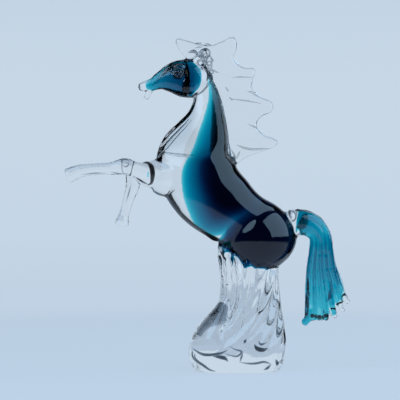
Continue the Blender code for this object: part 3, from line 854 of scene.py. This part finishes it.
def make_forelegs():
    """Near foreleg reaching forward, far one folded down at the knee."""
    return [
        add_loft("raised_foreleg", shifted(RAISED_FORELEG, -FORELEG_SIDE), bulge=HOOF_DOME_SHARE),
        add_loft("bent_forearm", shifted(BENT_FOREARM, FORELEG_SIDE)),
        add_loft("bent_shin", shifted(BENT_SHIN, FORELEG_SIDE), bulge=HOOF_DOME_SHARE),
        add_ellipsoid("knee_bump", (KNEE_BUMP[0], -FORELEG_SIDE, KNEE_BUMP[1]), KNEE_BUMP_SIZE),
    ]


def make_head():
    """Head with its nose ridge, lips, eyes and ears."""
    forms = [
        add_loft("head", HEAD),
        add_loft("nose_ridge", NOSE_RIDGE),
        add_loft("lower_lip", tube_stations(LOWER_LIP, LIP_RADIUS)),
    ]
    start, end = EAR_SPREAD
    for side in (-1, 1):
        x, y, z = EYE_PLACE
        forms.append(add_ball((x, side * y, z), EYE_RADIUS))
        for name, (centre, size) in (("brow", BROW), ("cheek", CHEEK)):
            forms.append(add_ellipsoid(name, (centre[0], side * centre[1], centre[2]), size))
        stations = []
        for k, (ear_x, ear_z, radius) in enumerate(EAR):
            lean = start + (end - start) * k / (len(EAR) - 1)
            stations.append((ear_x, side * lean, ear_z, radius, radius * EAR_DEPTH_SHARE))
        forms.append(add_loft("ear", stations))
    return forms


def make_mane_sheet():
    """Flat mane with lobed edge, as an extruded outline."""
    curve = bpy.data.curves.new("mane_outline", "CURVE")
    curve.dimensions = "2D"
    curve.fill_mode = "BOTH"
    curve.resolution_u = MANE_CURVE_STEPS
    curve.extrude = MANE_THICKNESS * MANE_FLAT_SHARE * UNIT
    curve.bevel_depth = MANE_THICKNESS * MANE_BEVEL_SHARE * UNIT
    curve.bevel_resolution = MANE_BEVEL_STEPS
    curve.offset = -curve.bevel_depth
    spline = curve.splines.new("BEZIER")
    spline.use_cyclic_u = True
    spline.bezier_points.add(len(MANE_OUTLINE) - 1)
    for point, (x, z) in zip(spline.bezier_points, MANE_OUTLINE):
        point.co = Vector((x, z, 0)) * UNIT
        point.handle_left_type = "AUTO"
        point.handle_right_type = "AUTO"
    outline = bpy.data.objects.new("mane_outline", curve)
    outline.rotation_euler = (math.radians(90), 0, 0)
    bpy.context.scene.collection.objects.link(outline)
    bpy.context.view_layer.update()
    evaluated = outline.evaluated_get(bpy.context.evaluated_depsgraph_get())
    bm = bmesh.new()
    bm.from_mesh(evaluated.to_mesh())
    bm.transform(outline.matrix_world)
    bmesh.ops.remove_doubles(bm, verts=bm.verts, dist=MERGE_DISTANCE * UNIT)
    bmesh.ops.recalc_face_normals(bm, faces=bm.faces)
    evaluated.to_mesh_clear()
    bpy.data.objects.remove(outline, do_unlink=True)
    return add_mesh_object("mane_sheet", bm)


def make_mane():
    """Mane sheet with raised locks on it."""
    forms = [make_mane_sheet()]
    for root, tip, lean in MANE_LOCKS:
        middle = ((root[0] + tip[0]) / 2, (root[1] + tip[1]) / 2 - LOCK_SAG)
        points = [(root[0], 0.0, root[1]), (middle[0], lean, middle[1]), (tip[0], lean / 2, tip[1])]
        forms.append(add_strand(points, LOCK_RADIUS, LOCK_TIP_SHARE))
    return forms


def tail_tip(share, inset):
    """Tip of one tail strand in the plane of the pose, moved back towards the fan by an inset."""
    centre_x, centre_z = TAIL_ARC_CENTRE
    wide, tall = (radius - inset for radius in TAIL_ARC_RADII)
    if share < TAIL_ROW_SHARE:
        return TAIL_ROW_START + (centre_x - TAIL_ROW_START) * share / TAIL_ROW_SHARE, centre_z - tall
    angle = TAIL_ARC_ANGLE * (share - TAIL_ROW_SHARE) / (1 - TAIL_ROW_SHARE)
    return centre_x + wide * math.sin(angle), centre_z - tall * math.cos(angle)


def tail_strand_points(share, side, inset, start=TAIL_STRAND_START):
    """Middle line of one tail strand; its share runs from 0 at the front to 1 at the back.

    The side says how far it lies out from the middle of the fan, as a share of the fan's half depth.
    """
    tip_x, tip_z = tail_tip(share, inset)
    path = (TAIL_ROOT + TAIL_FAN)[start:-1]
    points = []
    for k, (station, tangent) in enumerate(zip(path, station_tangents(path))):
        x, _, z, width, depth = station
        across = across_pose(tangent) * ((2 * share - 1) * TAIL_FAN_FILL * width)
        out = side * depth * fade(k, *TAIL_STRAND_RISE)
        if z + across.z - tip_z > TAIL_FREE_END:
            points.append((x + across.x, out, z + across.z))
    points.append((tip_x, side * TAIL_FAN[-1][4], tip_z))
    return points


def tail_strand(k, stagger, clear_tip=0.0, start=TAIL_STRAND_START):
    """Points of one tail strand; every second one at the back of the fan ends early."""
    share = k / (TAIL_STRAND_COUNT - 1)
    free = fade(share, TAIL_ROW_SHARE, 1.0)
    inset = clear_tip * free
    if k % 2:
        inset += TAIL_SHORT_TIP * min(TAIL_SHORT_RISE * free, 1.0)
    return tail_strand_points(share, stagger if k % 2 else -stagger, inset, start)


def make_tail():
    """Tail of glass with its strands."""
    forms = [add_loft("tail_sheet", TAIL_ROOT + TAIL_FAN)]
    for k in range(TAIL_STRAND_COUNT):
        forms.append(add_strand(tail_strand(k, TAIL_STAGGER), TAIL_STRAND_RADIUS))
    forms.append(add_loft("tail_toe", tube_stations(TAIL_TOE, TAIL_TOE_RADIUS)))
    return forms


def make_tail_core():
    """Blue glass of the tail: a thin sheet with uneven strands that end before the tips."""
    path = [TAIL_CORE_FIRST, *(TAIL_ROOT + TAIL_FAN)[TAIL_CORE_NEXT:]]
    sheet = []
    for k, (x, y, z, width, depth) in enumerate(path):
        thinning = fade(k, *TAIL_CORE_THINNING)
        share = TAIL_CORE_SHEET_TOP + (TAIL_CORE_SHEET - TAIL_CORE_SHEET_TOP) * thinning
        sheet.append((x, y, z, width - TAIL_CORE_SINK, max(depth * share, TAIL_CORE_SHEET_LEAST)))
    forms = [add_loft("tail_sheet", sheet)]
    for k in range(TAIL_STRAND_COUNT):
        swell = 1 + TAIL_CORE_BACK_SWELL * k / (TAIL_STRAND_COUNT - 1)
        radius = TAIL_CORE_RADII[k % len(TAIL_CORE_RADII)] * swell
        points = tail_strand(k, TAIL_CORE_STAGGER, TAIL_CORE_CLEAR_TIP, TAIL_CORE_STRAND_START)
        forms.append(add_strand(points, radius))
    forms.append(add_loft("tail_toe", tube_stations(TAIL_TOE, TAIL_TOE_RADIUS - TAIL_CORE_SINK)))
    return forms


def make_collar():
    """Two gathers of clear glass between rump and tail."""
    return [add_ellipsoid("collar_gather", centre, size) for centre, size in COLLAR_GATHERS]


def wedge_ring(centre, tangent, front, back, depth, slope):
    """Section of the blue glass in the trunk: a sharp front edge that widens towards a round back."""
    across = across_pose(tangent)
    near, far = [], []
    middle = (front + back) / 2
    half = (back - front) / 2
    for k in range(WEDGE_SIDES):
        place = middle - half * math.cos(math.pi * k / (WEDGE_SIDES - 1))
        run = place - front
        wedge = slope * run + WEDGE_NOSE * (1 - math.exp(-run / WEDGE_NOSE_LENGTH))
        swell = max(run - WEDGE_SWELL_FROM, 0.0) * WEDGE_SWELL_SLOPE
        reach = max(1 - (max(place, 0.0) / back) ** 2, 0.0)
        half_depth = min(wedge + swell, depth) * math.sqrt(reach)
        base = centre + across * place
        near.append(base + Vector((0, -half_depth, 0)))
        far.append(base + Vector((0, half_depth, 0)))
    return near + far[-2:0:-1]


def add_wedge_loft(name, edges, slope):
    """Blue or dark glass along neck and trunk."""
    dense = smooth_stations([(*place, *edge) for place, edge in zip(CORE_LINE, edges)], LOFT_STEPS)
    depths = [station[4] for station in smooth_stations(NECK_AND_TRUNK, LOFT_STEPS)]
    rings = []
    for station, tangent, depth in zip(dense, station_tangents(dense), depths):
        x, y, z, front, back, share = station
        rings.append(wedge_ring(Vector((x, y, z)), tangent, front, back, share * depth, slope))
    poles = [sum(ring, Vector()) / len(ring) for ring in (rings[0], rings[-1])]
    return skin_rings(name, rings, poles[0], poles[1])


def join_forms(name, forms):
    """One object of several forms."""
    bm = bmesh.new()
    for form in forms:
        bm.from_mesh(form.data)
        mesh = form.data
        bpy.data.objects.remove(form, do_unlink=True)
        bpy.data.meshes.remove(mesh)
    return add_mesh_object(name, bm)


def melt(obj, voxel):
    """Fuse overlapping forms into one skin with a voxel remesh."""
    modifier = obj.modifiers.new("melt", "REMESH")
    modifier.mode = "VOXEL"
    modifier.voxel_size = voxel * UNIT
    modifier.use_smooth_shade = True
    evaluated = obj.evaluated_get(bpy.context.evaluated_depsgraph_get())
    mesh = bpy.data.meshes.new_from_object(evaluated)
    obj.modifiers.remove(modifier)
    old = obj.data
    obj.data = mesh
    bpy.data.meshes.remove(old)


def read_points(mesh):
    """Vertex places of a mesh as an array."""
    points = np.empty(len(mesh.vertices) * 3)
    mesh.vertices.foreach_get("co", points)
    return points.reshape(-1, 3)


def write_points(mesh, points):
    """Put vertex places back in a mesh."""
    mesh.vertices.foreach_set("co", points.ravel())
    mesh.update()


def read_edges(mesh):
    """Both ends of each edge of a mesh, as vertex numbers."""
    edges = np.empty(len(mesh.edges) * 2, dtype=np.int64)
    mesh.edges.foreach_get("vertices", edges)
    return edges.reshape(-1, 2)


def way_to_neighbours(points, edges):
    """For each point, the way to the mean of its neighbours."""
    start, end = edges[:, 0], edges[:, 1]
    count = np.maximum(np.bincount(edges.ravel(), minlength=len(points)), 1)[:, None]
    total = np.empty_like(points)
    for axis in range(3):
        total[:, axis] = (
            np.bincount(start, points[end, axis], len(points))
            + np.bincount(end, points[start, axis], len(points))
        )
    return total / count - points


def relax(mesh, passes):
    """Even out the skin without shrinking it: each pass moves points to their neighbours' mean and back."""
    points = read_points(mesh)
    edges = read_edges(mesh)
    for _ in range(passes):
        for share in (SMOOTH_FORWARD, SMOOTH_BACK):
            points += share * way_to_neighbours(points, edges)
    write_points(mesh, points)


def smooth_crook(mesh):
    """Melt the fold behind the neck away: plain smoothing, strongest in the middle of the crook."""
    points = read_points(mesh)
    away = np.hypot(points[:, 0] / UNIT - CROOK_CENTRE[0], points[:, 2] / UNIT - CROOK_CENTRE[1])
    share = np.clip(1 - (away / CROOK_REACH) ** 2, 0.0, 1.0)[:, None]
    edges = read_edges(mesh)
    edges = edges[(share[edges[:, 0], 0] > 0) | (share[edges[:, 1], 0] > 0)]
    for _ in range(CROOK_PASSES):
        points += SMOOTH_FORWARD * share * way_to_neighbours(points, edges)
    write_points(mesh, points)


def flatten_foot(mesh):
    """Cut the skin off at the ground and close it with a flat underside."""
    bm = bmesh.new()
    bm.from_mesh(mesh)
    level = FOOT_CUT * UNIT
    whole = [*bm.verts, *bm.edges, *bm.faces]
    cut = bmesh.ops.bisect_plane(
        bm, geom=whole, plane_co=(0, 0, level), plane_no=(0, 0, 1), clear_inner=True
    )
    rim = [edge for edge in cut["geom_cut"] if isinstance(edge, bmesh.types.BMEdge)]
    bmesh.ops.edgeloop_fill(bm, edges=rim)
    for vert in bm.verts:
        if vert.co.z <= level * FOOT_CUT_SLACK:
            vert.co.z = 0.0
    bmesh.ops.recalc_face_normals(bm, faces=bm.faces)
    bm.to_mesh(mesh)
    bm.free()
    mesh.shade_smooth()


def add_hollows(mesh):
    """Air bubbles and channels as closed hollows in the glass: their skins face into the air."""
    tree = skin_tree(mesh)
    forms = [plane_thread(points, radius) for points, radius in MANE_CHANNELS]
    forms += threads_under_skin(tree, LEG_CHANNELS + SKIN_CHANNELS, -1)
    forms += threads_under_skin(tree, SKIN_CHANNELS, 1)
    channels = join_forms("channels", forms)
    bm = bmesh.new()
    bm.from_mesh(channels.data)
    bmesh.ops.reverse_faces(bm, faces=bm.faces)
    bm.from_mesh(mesh)
    bpy.data.meshes.remove(channels.data)
    for centre, radius in BUBBLES:
        made = bmesh.ops.create_icosphere(bm, subdivisions=BUBBLE_DETAIL, radius=radius * UNIT)
        bmesh.ops.translate(bm, vec=Vector(centre) * UNIT, verts=made["verts"])
        faces = {face for vert in made["verts"] for face in vert.link_faces}
        bmesh.ops.reverse_faces(bm, faces=list(faces))
    bm.to_mesh(mesh)
    bm.free()
    mesh.shade_smooth()


def add_thread(points, radius):
    """Thin rod through points, thickest in its middle and pointed at both ends."""
    last = len(points) - 1
    stations = []
    for k, (x, y, z) in enumerate(points):
        swell = THREAD_TIP_SHARE + (1 - THREAD_TIP_SHARE) * math.sin(math.pi * k / last)
        width = radius * (1.0 if last == 1 else swell)
        stations.append((x, y, z, width, width))
    return add_loft("thread", stations, sides=THREAD_SIDES, steps=THREAD_STEPS)


def add_ring(centre, half_sizes, radius):
    """Closed ring of rod that faces along Y."""
    bm = bmesh.new()
    loops = []
    for k in range(RING_POINTS):
        turn = 2 * math.pi * k / RING_POINTS
        reach = Vector((half_sizes[0] * math.cos(turn), 0, half_sizes[1] * math.sin(turn)))
        outward = reach.normalized()
        loop = []
        for side in range(THREAD_SIDES):
            angle = 2 * math.pi * side / THREAD_SIDES
            offset = outward * (radius * math.cos(angle)) + Vector((0, radius * math.sin(angle), 0))
            loop.append(bm.verts.new((Vector(centre) + reach + offset) * UNIT))
        loops.append(loop)
    for near, far in zip(loops, loops[1:] + loops[:1]):
        bridge(bm, near, far)
    bmesh.ops.recalc_face_normals(bm, faces=bm.faces)
    return add_mesh_object("ring", bm)


def plane_thread(points, radius):
    """Thin rod in the middle plane of the pose."""
    return add_thread([(x, 0.0, z) for x, z in points], radius)


def skin_tree(mesh):
    """Search tree over the faces of a mesh."""
    bm = bmesh.new()
    bm.from_mesh(mesh)
    tree = BVHTree.FromBMesh(bm)
    bm.free()
    return tree


def threads_under_skin(tree, table, side):
    """Thin rods that run just under the skin, on the side -1 (near) or 1 (far)."""
    forms = []
    for points, radius in table:
        placed = []
        for x, z in points:
            place, _, _, _ = tree.ray_cast(Vector((x * UNIT, side, z * UNIT)), Vector((0, -side, 0)))
            if place is not None:
                placed.append((x, place.y / UNIT - side * (radius + CHANNEL_COVER), z))
        if len(placed) > 1:
            forms.append(add_thread(placed, radius))
    return forms


def fill(tree, socket, value):
    """Link a socket to another one, or set its number or colour."""
    if isinstance(value, bpy.types.NodeSocket):
        tree.links.new(value, socket)
    elif socket.type == "RGBA":
        socket.default_value = (*value, 1.0)
    else:
        socket.default_value = value


def fill_named(tree, node, **inputs):
    """Fill a node's inputs by name, with _ for a space."""
    for name, value in inputs.items():
        fill(tree, node.inputs[name.replace("_", " ")], value)
    return node


def fill_in_order(tree, node, *values):
    """Fill a node's first inputs and give its first output."""
    for socket, value in zip(node.inputs, values):
        fill(tree, socket, value)
    return node.outputs[0]


def math_node(tree, operation, *values):
    """Result of a sum on sockets and numbers."""
    node = tree.nodes.new("ShaderNodeMath")
    node.operation = operation
    return fill_in_order(tree, node, *values)


def ramp_up(tree, value, start, end):
    """Smooth rise from 0 to 1 while the value goes from start to end."""
    node = tree.nodes.new("ShaderNodeMapRange")
    node.interpolation_type = "SMOOTHSTEP"
    return fill_named(tree, node, Value=value, From_Min=start, From_Max=end).outputs["Result"]


def mix_colours(tree, share, first, second):
    """Colour between two; each is a socket or a linear colour."""
    node = tree.nodes.new("ShaderNodeMix")
    node.data_type = "RGBA"
    colours = [socket for socket in node.inputs if socket.type == "RGBA"]
    for socket, value in zip([node.inputs["Factor"], *colours], (share, first, second)):
        fill(tree, socket, value)
    return next(socket for socket in node.outputs if socket.type == "RGBA")


def new_material(name):
    """Material with its nodes, and its node tree."""
    material = bpy.data.materials.new(name)
    material.use_nodes = True
    return material, material.node_tree


def make_glass(name, ior):
    """See-through glass by plain values on the shader."""
    material, tree = new_material(name)
    shader = tree.nodes["Principled BSDF"]
    fill_named(tree, shader, Base_Color=WHITE, Transmission_Weight=1.0, Roughness=0.0, IOR=ior)
    return material


def make_tinted_glass(name, tint, density, ior=SEALED_IOR):
    """Glass with a colour that deepens with its thickness."""
    material = make_glass(name, ior)
    tree = material.node_tree
    absorb = fill_named(tree, tree.nodes.new("ShaderNodeVolumeAbsorption"), Color=tint, Density=density)
    fill_named(tree, tree.nodes["Material Output"], Volume=absorb.outputs["Volume"])
    return material


def make_clear_glass():
    """Clear glass with the faint waves of hand-worked glass, as a bump."""
    material = make_glass("clear_glass", GLASS_IOR)
    tree = material.node_tree
    place = tree.nodes.new("ShaderNodeTexCoord").outputs["Object"]
    noise = tree.nodes.new("ShaderNodeTexNoise")
    fill_named(tree, noise, Vector=place, Scale=WAVE_SCALE, Detail=WAVE_DETAIL)
    bump = tree.nodes.new("ShaderNodeBump")
    fill_named(tree, bump, Height=noise.outputs["Fac"], Strength=WAVE_STRENGTH, Distance=WAVE_DISTANCE)
    fill_named(tree, tree.nodes["Principled BSDF"], Normal=bump.outputs["Normal"])
    return material


def make_horse():
    """The clear glass body with its bubbles and channels."""
    forms = make_body() + make_hind_legs() + make_forelegs() + make_head() + make_mane()
    forms += make_tail() + make_collar()
    horse = join_forms("horse_glass", forms)
    melt(horse, GLASS_VOXEL)
    relax(horse.data, GLASS_SMOOTH_PASSES)
    smooth_crook(horse.data)
    flatten_foot(horse.data)
    add_hollows(horse.data)
    horse.data.materials.clear()
    horse.data.materials.append(make_clear_glass())
    return horse


def make_core(name, forms, material, voxel=CORE_VOXEL):
    """A mass of tinted glass sealed in the clear body."""
    core = join_forms(name, forms)
    melt(core, voxel)
    relax(core.data, CORE_SMOOTH_PASSES)
    core.data.materials.clear()
    core.data.materials.append(material)
    return core


def make_rods(name, forms, material):
    """One piece of thin forms; they aren't melted, so they keep their size."""
    rods = join_forms(name, forms)
    rods.data.materials.append(material)
    return rods


def make_threads():
    """Rings, balls and rods of grey glass on eyes and poll."""
    forms = []
    for side in (-1, 1):
        x, y, z = EYE_PLACE
        centre = (x, side * (y + EYE_RING_OUT), z)
        forms.append(add_ring(centre, (EYE_RING, EYE_RING), EYE_RING_ROD))
        forms.append(add_ball(centre, EYE_BALL))
    for centre, wide, tall, radius in POLL_RINGS:
        forms.append(add_ring(centre, (wide, tall), radius))
    forms += [add_thread(points, radius) for points, radius in POLL_THREADS]
    grey = make_tinted_glass("grey_rod_glass", SMOKE_TINT, ROD_DENSITY, GLASS_IOR)
    return make_rods("glass_threads", forms, grey)


def make_head_threads(ink):
    """Dark threads, eye rings and pupils sealed in the head, the same on both sides; the upright thread
    behind the eye is painted shade of the cheek edge.
    """
    forms = []
    for side in (-1, 1):
        for thread in HEAD_DARK_THREADS:
            stations = [(x, side * y, z, radius, radius) for x, y, z, radius in thread]
            forms.append(add_loft("head_thread", stations, sides=THREAD_SIDES, steps=THREAD_STEPS))
        x, y, z = EYE_PLACE
        centre = (x, side * (y - EYE_DARK_SINK), z)
        forms += [add_ring(centre, (reach, reach), radius) for reach, radius in EYE_DARK_RINGS]
        forms.append(add_ball(centre, EYE_BALL))
    return make_rods("head_dark", forms, ink)


def make_dark_lines(ink):
    """Dark lines sealed in the shoulder and the tail collar, and dark beads at the end of the tail."""
    forms = [add_thread(points, radius) for points, radius in zip(SHOULDER_DARK, SHOULDER_DARK_RADII)]
    for side in (-1, 1):
        for points in COLLAR_LINES:
            forms.append(add_thread([(x, -side * y, z) for x, y, z in points], COLLAR_LINE_RADIUS))
    forms += [add_ball((x, 0, z), TAIL_BEAD_RADIUS) for x, z in TAIL_BEADS]
    return make_rods("dark_lines", forms, ink)


def make_tail_streaks():
    """Navy streaks and marks sealed in the tail."""
    forms = []
    for k in range(TAIL_STREAK_COUNT):
        side = TAIL_STREAK_STAGGER if k % 2 else -TAIL_STREAK_STAGGER
        share = k / (TAIL_STREAK_COUNT - 1)
        points = tail_strand_points(share, side, TAIL_STREAK_INSET, TAIL_STREAK_START)
        forms.append(add_thread(points, TAIL_STREAK_RADII[k % len(TAIL_STREAK_RADII)]))
    forms += [plane_thread(points, radius) for points, radius in TAIL_MARKS]
    return make_rods("tail_navy", forms, make_tinted_glass("navy_glass", NAVY_TINT, NAVY_DENSITY))


def make_foot_threads(mesh):
    """Grey glass in the foot and forelegs: lines under their near skin and a flat mass in the swell."""
    forms = [add_loft("swell_smoke", SWELL_SMOKE)]
    forms += threads_under_skin(skin_tree(mesh), FOOT_LINES + FORELEG_LINES, -1)
    return make_rods("foot_grey", forms, make_tinted_glass("grey_glass", SMOKE_TINT, SMOKE_DENSITY))


def make_trunk_cores():
    """Blue glass of the trunk, haunches and thigh, the black glass behind it, and dark glass under the belly
    as painted shade.
    """
    blue_forms = [
        add_wedge_loft("trunk_core", TRUNK_CORE, WEDGE_SLOPE),
        add_ellipsoid("haunch_core", HAUNCH_CENTRE, HAUNCH_CORE_SIZE),
        add_ellipsoid("thigh_core", THIGH_CORE_CENTRE, THIGH_CORE_SIZE),
        add_loft("crease_seam", CREASE_SEAM),
        add_ellipsoid("shoulder_spot", *SHOULDER_SPOT),
    ]
    dark_forms = [
        add_wedge_loft("dark_core", DARK_CORE, DARK_SLOPE),
        # painted shade: dark glass under the belly for the dark room mirrored in the clear glass there
        add_loft("belly_painted_shade", BELLY_PAINTED_SHADE),
        add_loft("tail_root_dark", TAIL_ROOT_DARK),
    ]
    blue = make_tinted_glass("blue_glass_dense", BLUE_TINT, TRUNK_BLUE_DENSITY)
    black = make_tinted_glass("black_glass", BLACK_TINT, BLACK_DENSITY)
    return [make_core("trunk_blue", blue_forms, blue), make_core("trunk_dark", dark_forms, black)]


def make_cores():
    """All tinted glass that is sealed in the trunk, head and tail."""
    head_blue = make_tinted_glass("blue_glass_head", BLUE_TINT, HEAD_BLUE_DENSITY)
    tail_blue = make_tinted_glass("blue_glass_tail", BLUE_TINT, TAIL_BLUE_DENSITY)
    ink = make_tinted_glass("ink_glass", BLACK_TINT, INK_DENSITY)
    return [
        *make_trunk_cores(),
        make_core("head_blue", [add_loft("head_core", HEAD_CORE)], head_blue),
        make_core("tail_blue", make_tail_core(), tail_blue, TAIL_CORE_VOXEL),
        make_head_threads(ink),
        make_dark_lines(ink),
        make_tail_streaks(),
    ]


def scaled(colour, share):
    """Colour times a number."""
    return tuple(channel * share for channel in colour)


def backdrop_colour(tree, height):
    """Colour of the backdrop as the camera sees it, by height."""
    ramp = tree.nodes.new("ShaderNodeValToRGB")
    fill_named(tree, ramp, Fac=math_node(tree, "MULTIPLY_ADD", height, 0.5 / BACKDROP_SPAN, 0.5))
    elements = ramp.color_ramp.elements
    while len(elements) < len(BACKDROP_STOPS):
        elements.new(0.5)
    for element, (level, colour) in zip(elements, BACKDROP_STOPS):
        element.position = 0.5 + 0.5 * level / BACKDROP_SPAN
        element.color = (*colour, 1.0)
    return ramp.outputs["Color"]


def add_world():
    """Pale studio: backdrop and table are bright, the room in front is dark where glass mirrors it."""
    world = bpy.data.worlds.new("studio")
    bpy.context.scene.world = world
    world.use_nodes = True
    tree = world.node_tree
    view = tree.nodes.new("ShaderNodeTexCoord").outputs["Generated"]
    split = fill_named(tree, tree.nodes.new("ShaderNodeSeparateXYZ"), Vector=view)
    along, height = split.outputs["Y"], split.outputs["Z"]
    path = tree.nodes.new("ShaderNodeLightPath")
    backdrop = ramp_up(tree, along, *BACKDROP_EDGE)
    straight = math_node(tree, "ABSOLUTE", along)
    backdrop_refracted = ramp_up(tree, straight, *BACKDROP_EDGE_REFRACTED)
    above = ramp_up(tree, height, *TABLE_EDGE)
    table = scaled(PALE, TABLE_SHARE)
    mirrored = mix_colours(tree, backdrop, scaled(PALE, ROOM_REFLECTED), PALE)
    refracted_room = mix_colours(tree, backdrop_refracted, scaled(PALE, ROOM_REFRACTED), PALE)
    refracted = mix_colours(tree, above, table, refracted_room)
    seen_by_glass = mix_colours(tree, path.outputs["Is Transmission Ray"], mirrored, refracted)
    seen = backdrop_colour(tree, height)
    final = mix_colours(tree, path.outputs["Is Camera Ray"], seen_by_glass, seen)
    fill_named(tree, tree.nodes["Background"], Color=final)


def add_softbox(name, shape, place, target, width, height, radiance):
    """Soft light aimed at a point, mirrored by glass but not seen through it."""
    data = bpy.data.lights.new(name, "AREA")
    data.color = SOFTBOX_COLOUR
    data.shape = shape
    data.size = width
    data.size_y = height
    data.energy = radiance * math.pi * width * height
    light = bpy.data.objects.new(name, data)
    light.location = place
    light.rotation_euler = (Vector(target) - Vector(place)).to_track_quat("-Z", "Y").to_euler()
    light.visible_camera = False
    light.visible_transmission = False
    bpy.context.scene.collection.objects.link(light)


def make_table_material():
    """Pale paper with the backdrop's glow; it fades out away from the foot."""
    material, tree = new_material("tabletop")
    tree.nodes.remove(tree.nodes["Principled BSDF"])
    through_glass = tree.nodes.new("ShaderNodeLightPath").outputs["Is Transmission Ray"]
    dimming = math_node(tree, "MULTIPLY", through_glass, FLOOR_SHARE_REFRACTED - 1)
    strength = math_node(tree, "MULTIPLY_ADD", dimming, FLOOR_EMISSION, FLOOR_EMISSION)
    glow = fill_in_order(tree, tree.nodes.new("ShaderNodeEmission"), BACKDROP_STOPS[0][1], strength)
    paper = fill_in_order(tree, tree.nodes.new("ShaderNodeBsdfDiffuse"), FLOOR_ALBEDO)
    surface = fill_in_order(tree, tree.nodes.new("ShaderNodeAddShader"), glow, paper)
    distance = tree.nodes.new("ShaderNodeVectorMath")
    distance.operation = "LENGTH"
    fill_in_order(tree, distance, tree.nodes.new("ShaderNodeTexCoord").outputs["Object"])
    share = ramp_up(tree, distance.outputs["Value"], *FLOOR_FADE)
    clear = tree.nodes.new("ShaderNodeBsdfTransparent").outputs[0]
    mixed = fill_in_order(tree, tree.nodes.new("ShaderNodeMixShader"), share, surface, clear)
    fill_named(tree, tree.nodes["Material Output"], Surface=mixed)
    return material


def add_floor():
    """Pale tabletop just below the foot."""
    bm = bmesh.new()
    bmesh.ops.create_circle(bm, cap_ends=True, segments=FLOOR_SIDES, radius=FLOOR_RADIUS)
    floor = add_mesh_object("tabletop", bm)
    floor.location.z = -FLOOR_DROP
    floor.data.materials.append(make_table_material())


def add_camera():
    """Camera at the photograph's angle: level, looking along +Y."""
    data = bpy.data.cameras.new("camera")
    data.lens = CAMERA_LENS
    data.clip_start = CAMERA_NEAR
    camera = bpy.data.objects.new("camera", data)
    camera.location = CAMERA_PLACE
    camera.rotation_euler = (math.radians(90), 0, 0)
    bpy.context.scene.collection.objects.link(camera)
    bpy.context.scene.camera = camera


horse = make_horse()
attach(horse, "root")
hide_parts("crystal_horse")
threads = make_threads()
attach(threads, "root")
for core in [*make_cores(), make_foot_threads(horse.data)]:
    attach(core, "root")

add_world()
add_softbox("right_softbox", *RIGHT_SOFTBOX)
add_softbox("left_softbox", *LEFT_SOFTBOX)
add_floor()
add_camera()

scene = bpy.context.scene
scene.view_settings.view_transform = "Standard"
scene.view_settings.look = "None"
scene.cycles.max_bounces = GLASS_BOUNCES
scene.cycles.transmission_bounces = GLASS_BOUNCES
scene.cycles.glossy_bounces = MIRROR_BOUNCES
scene.cycles.volume_bounces = 0
scene.cycles.transparent_max_bounces = CLEAR_BOUNCES
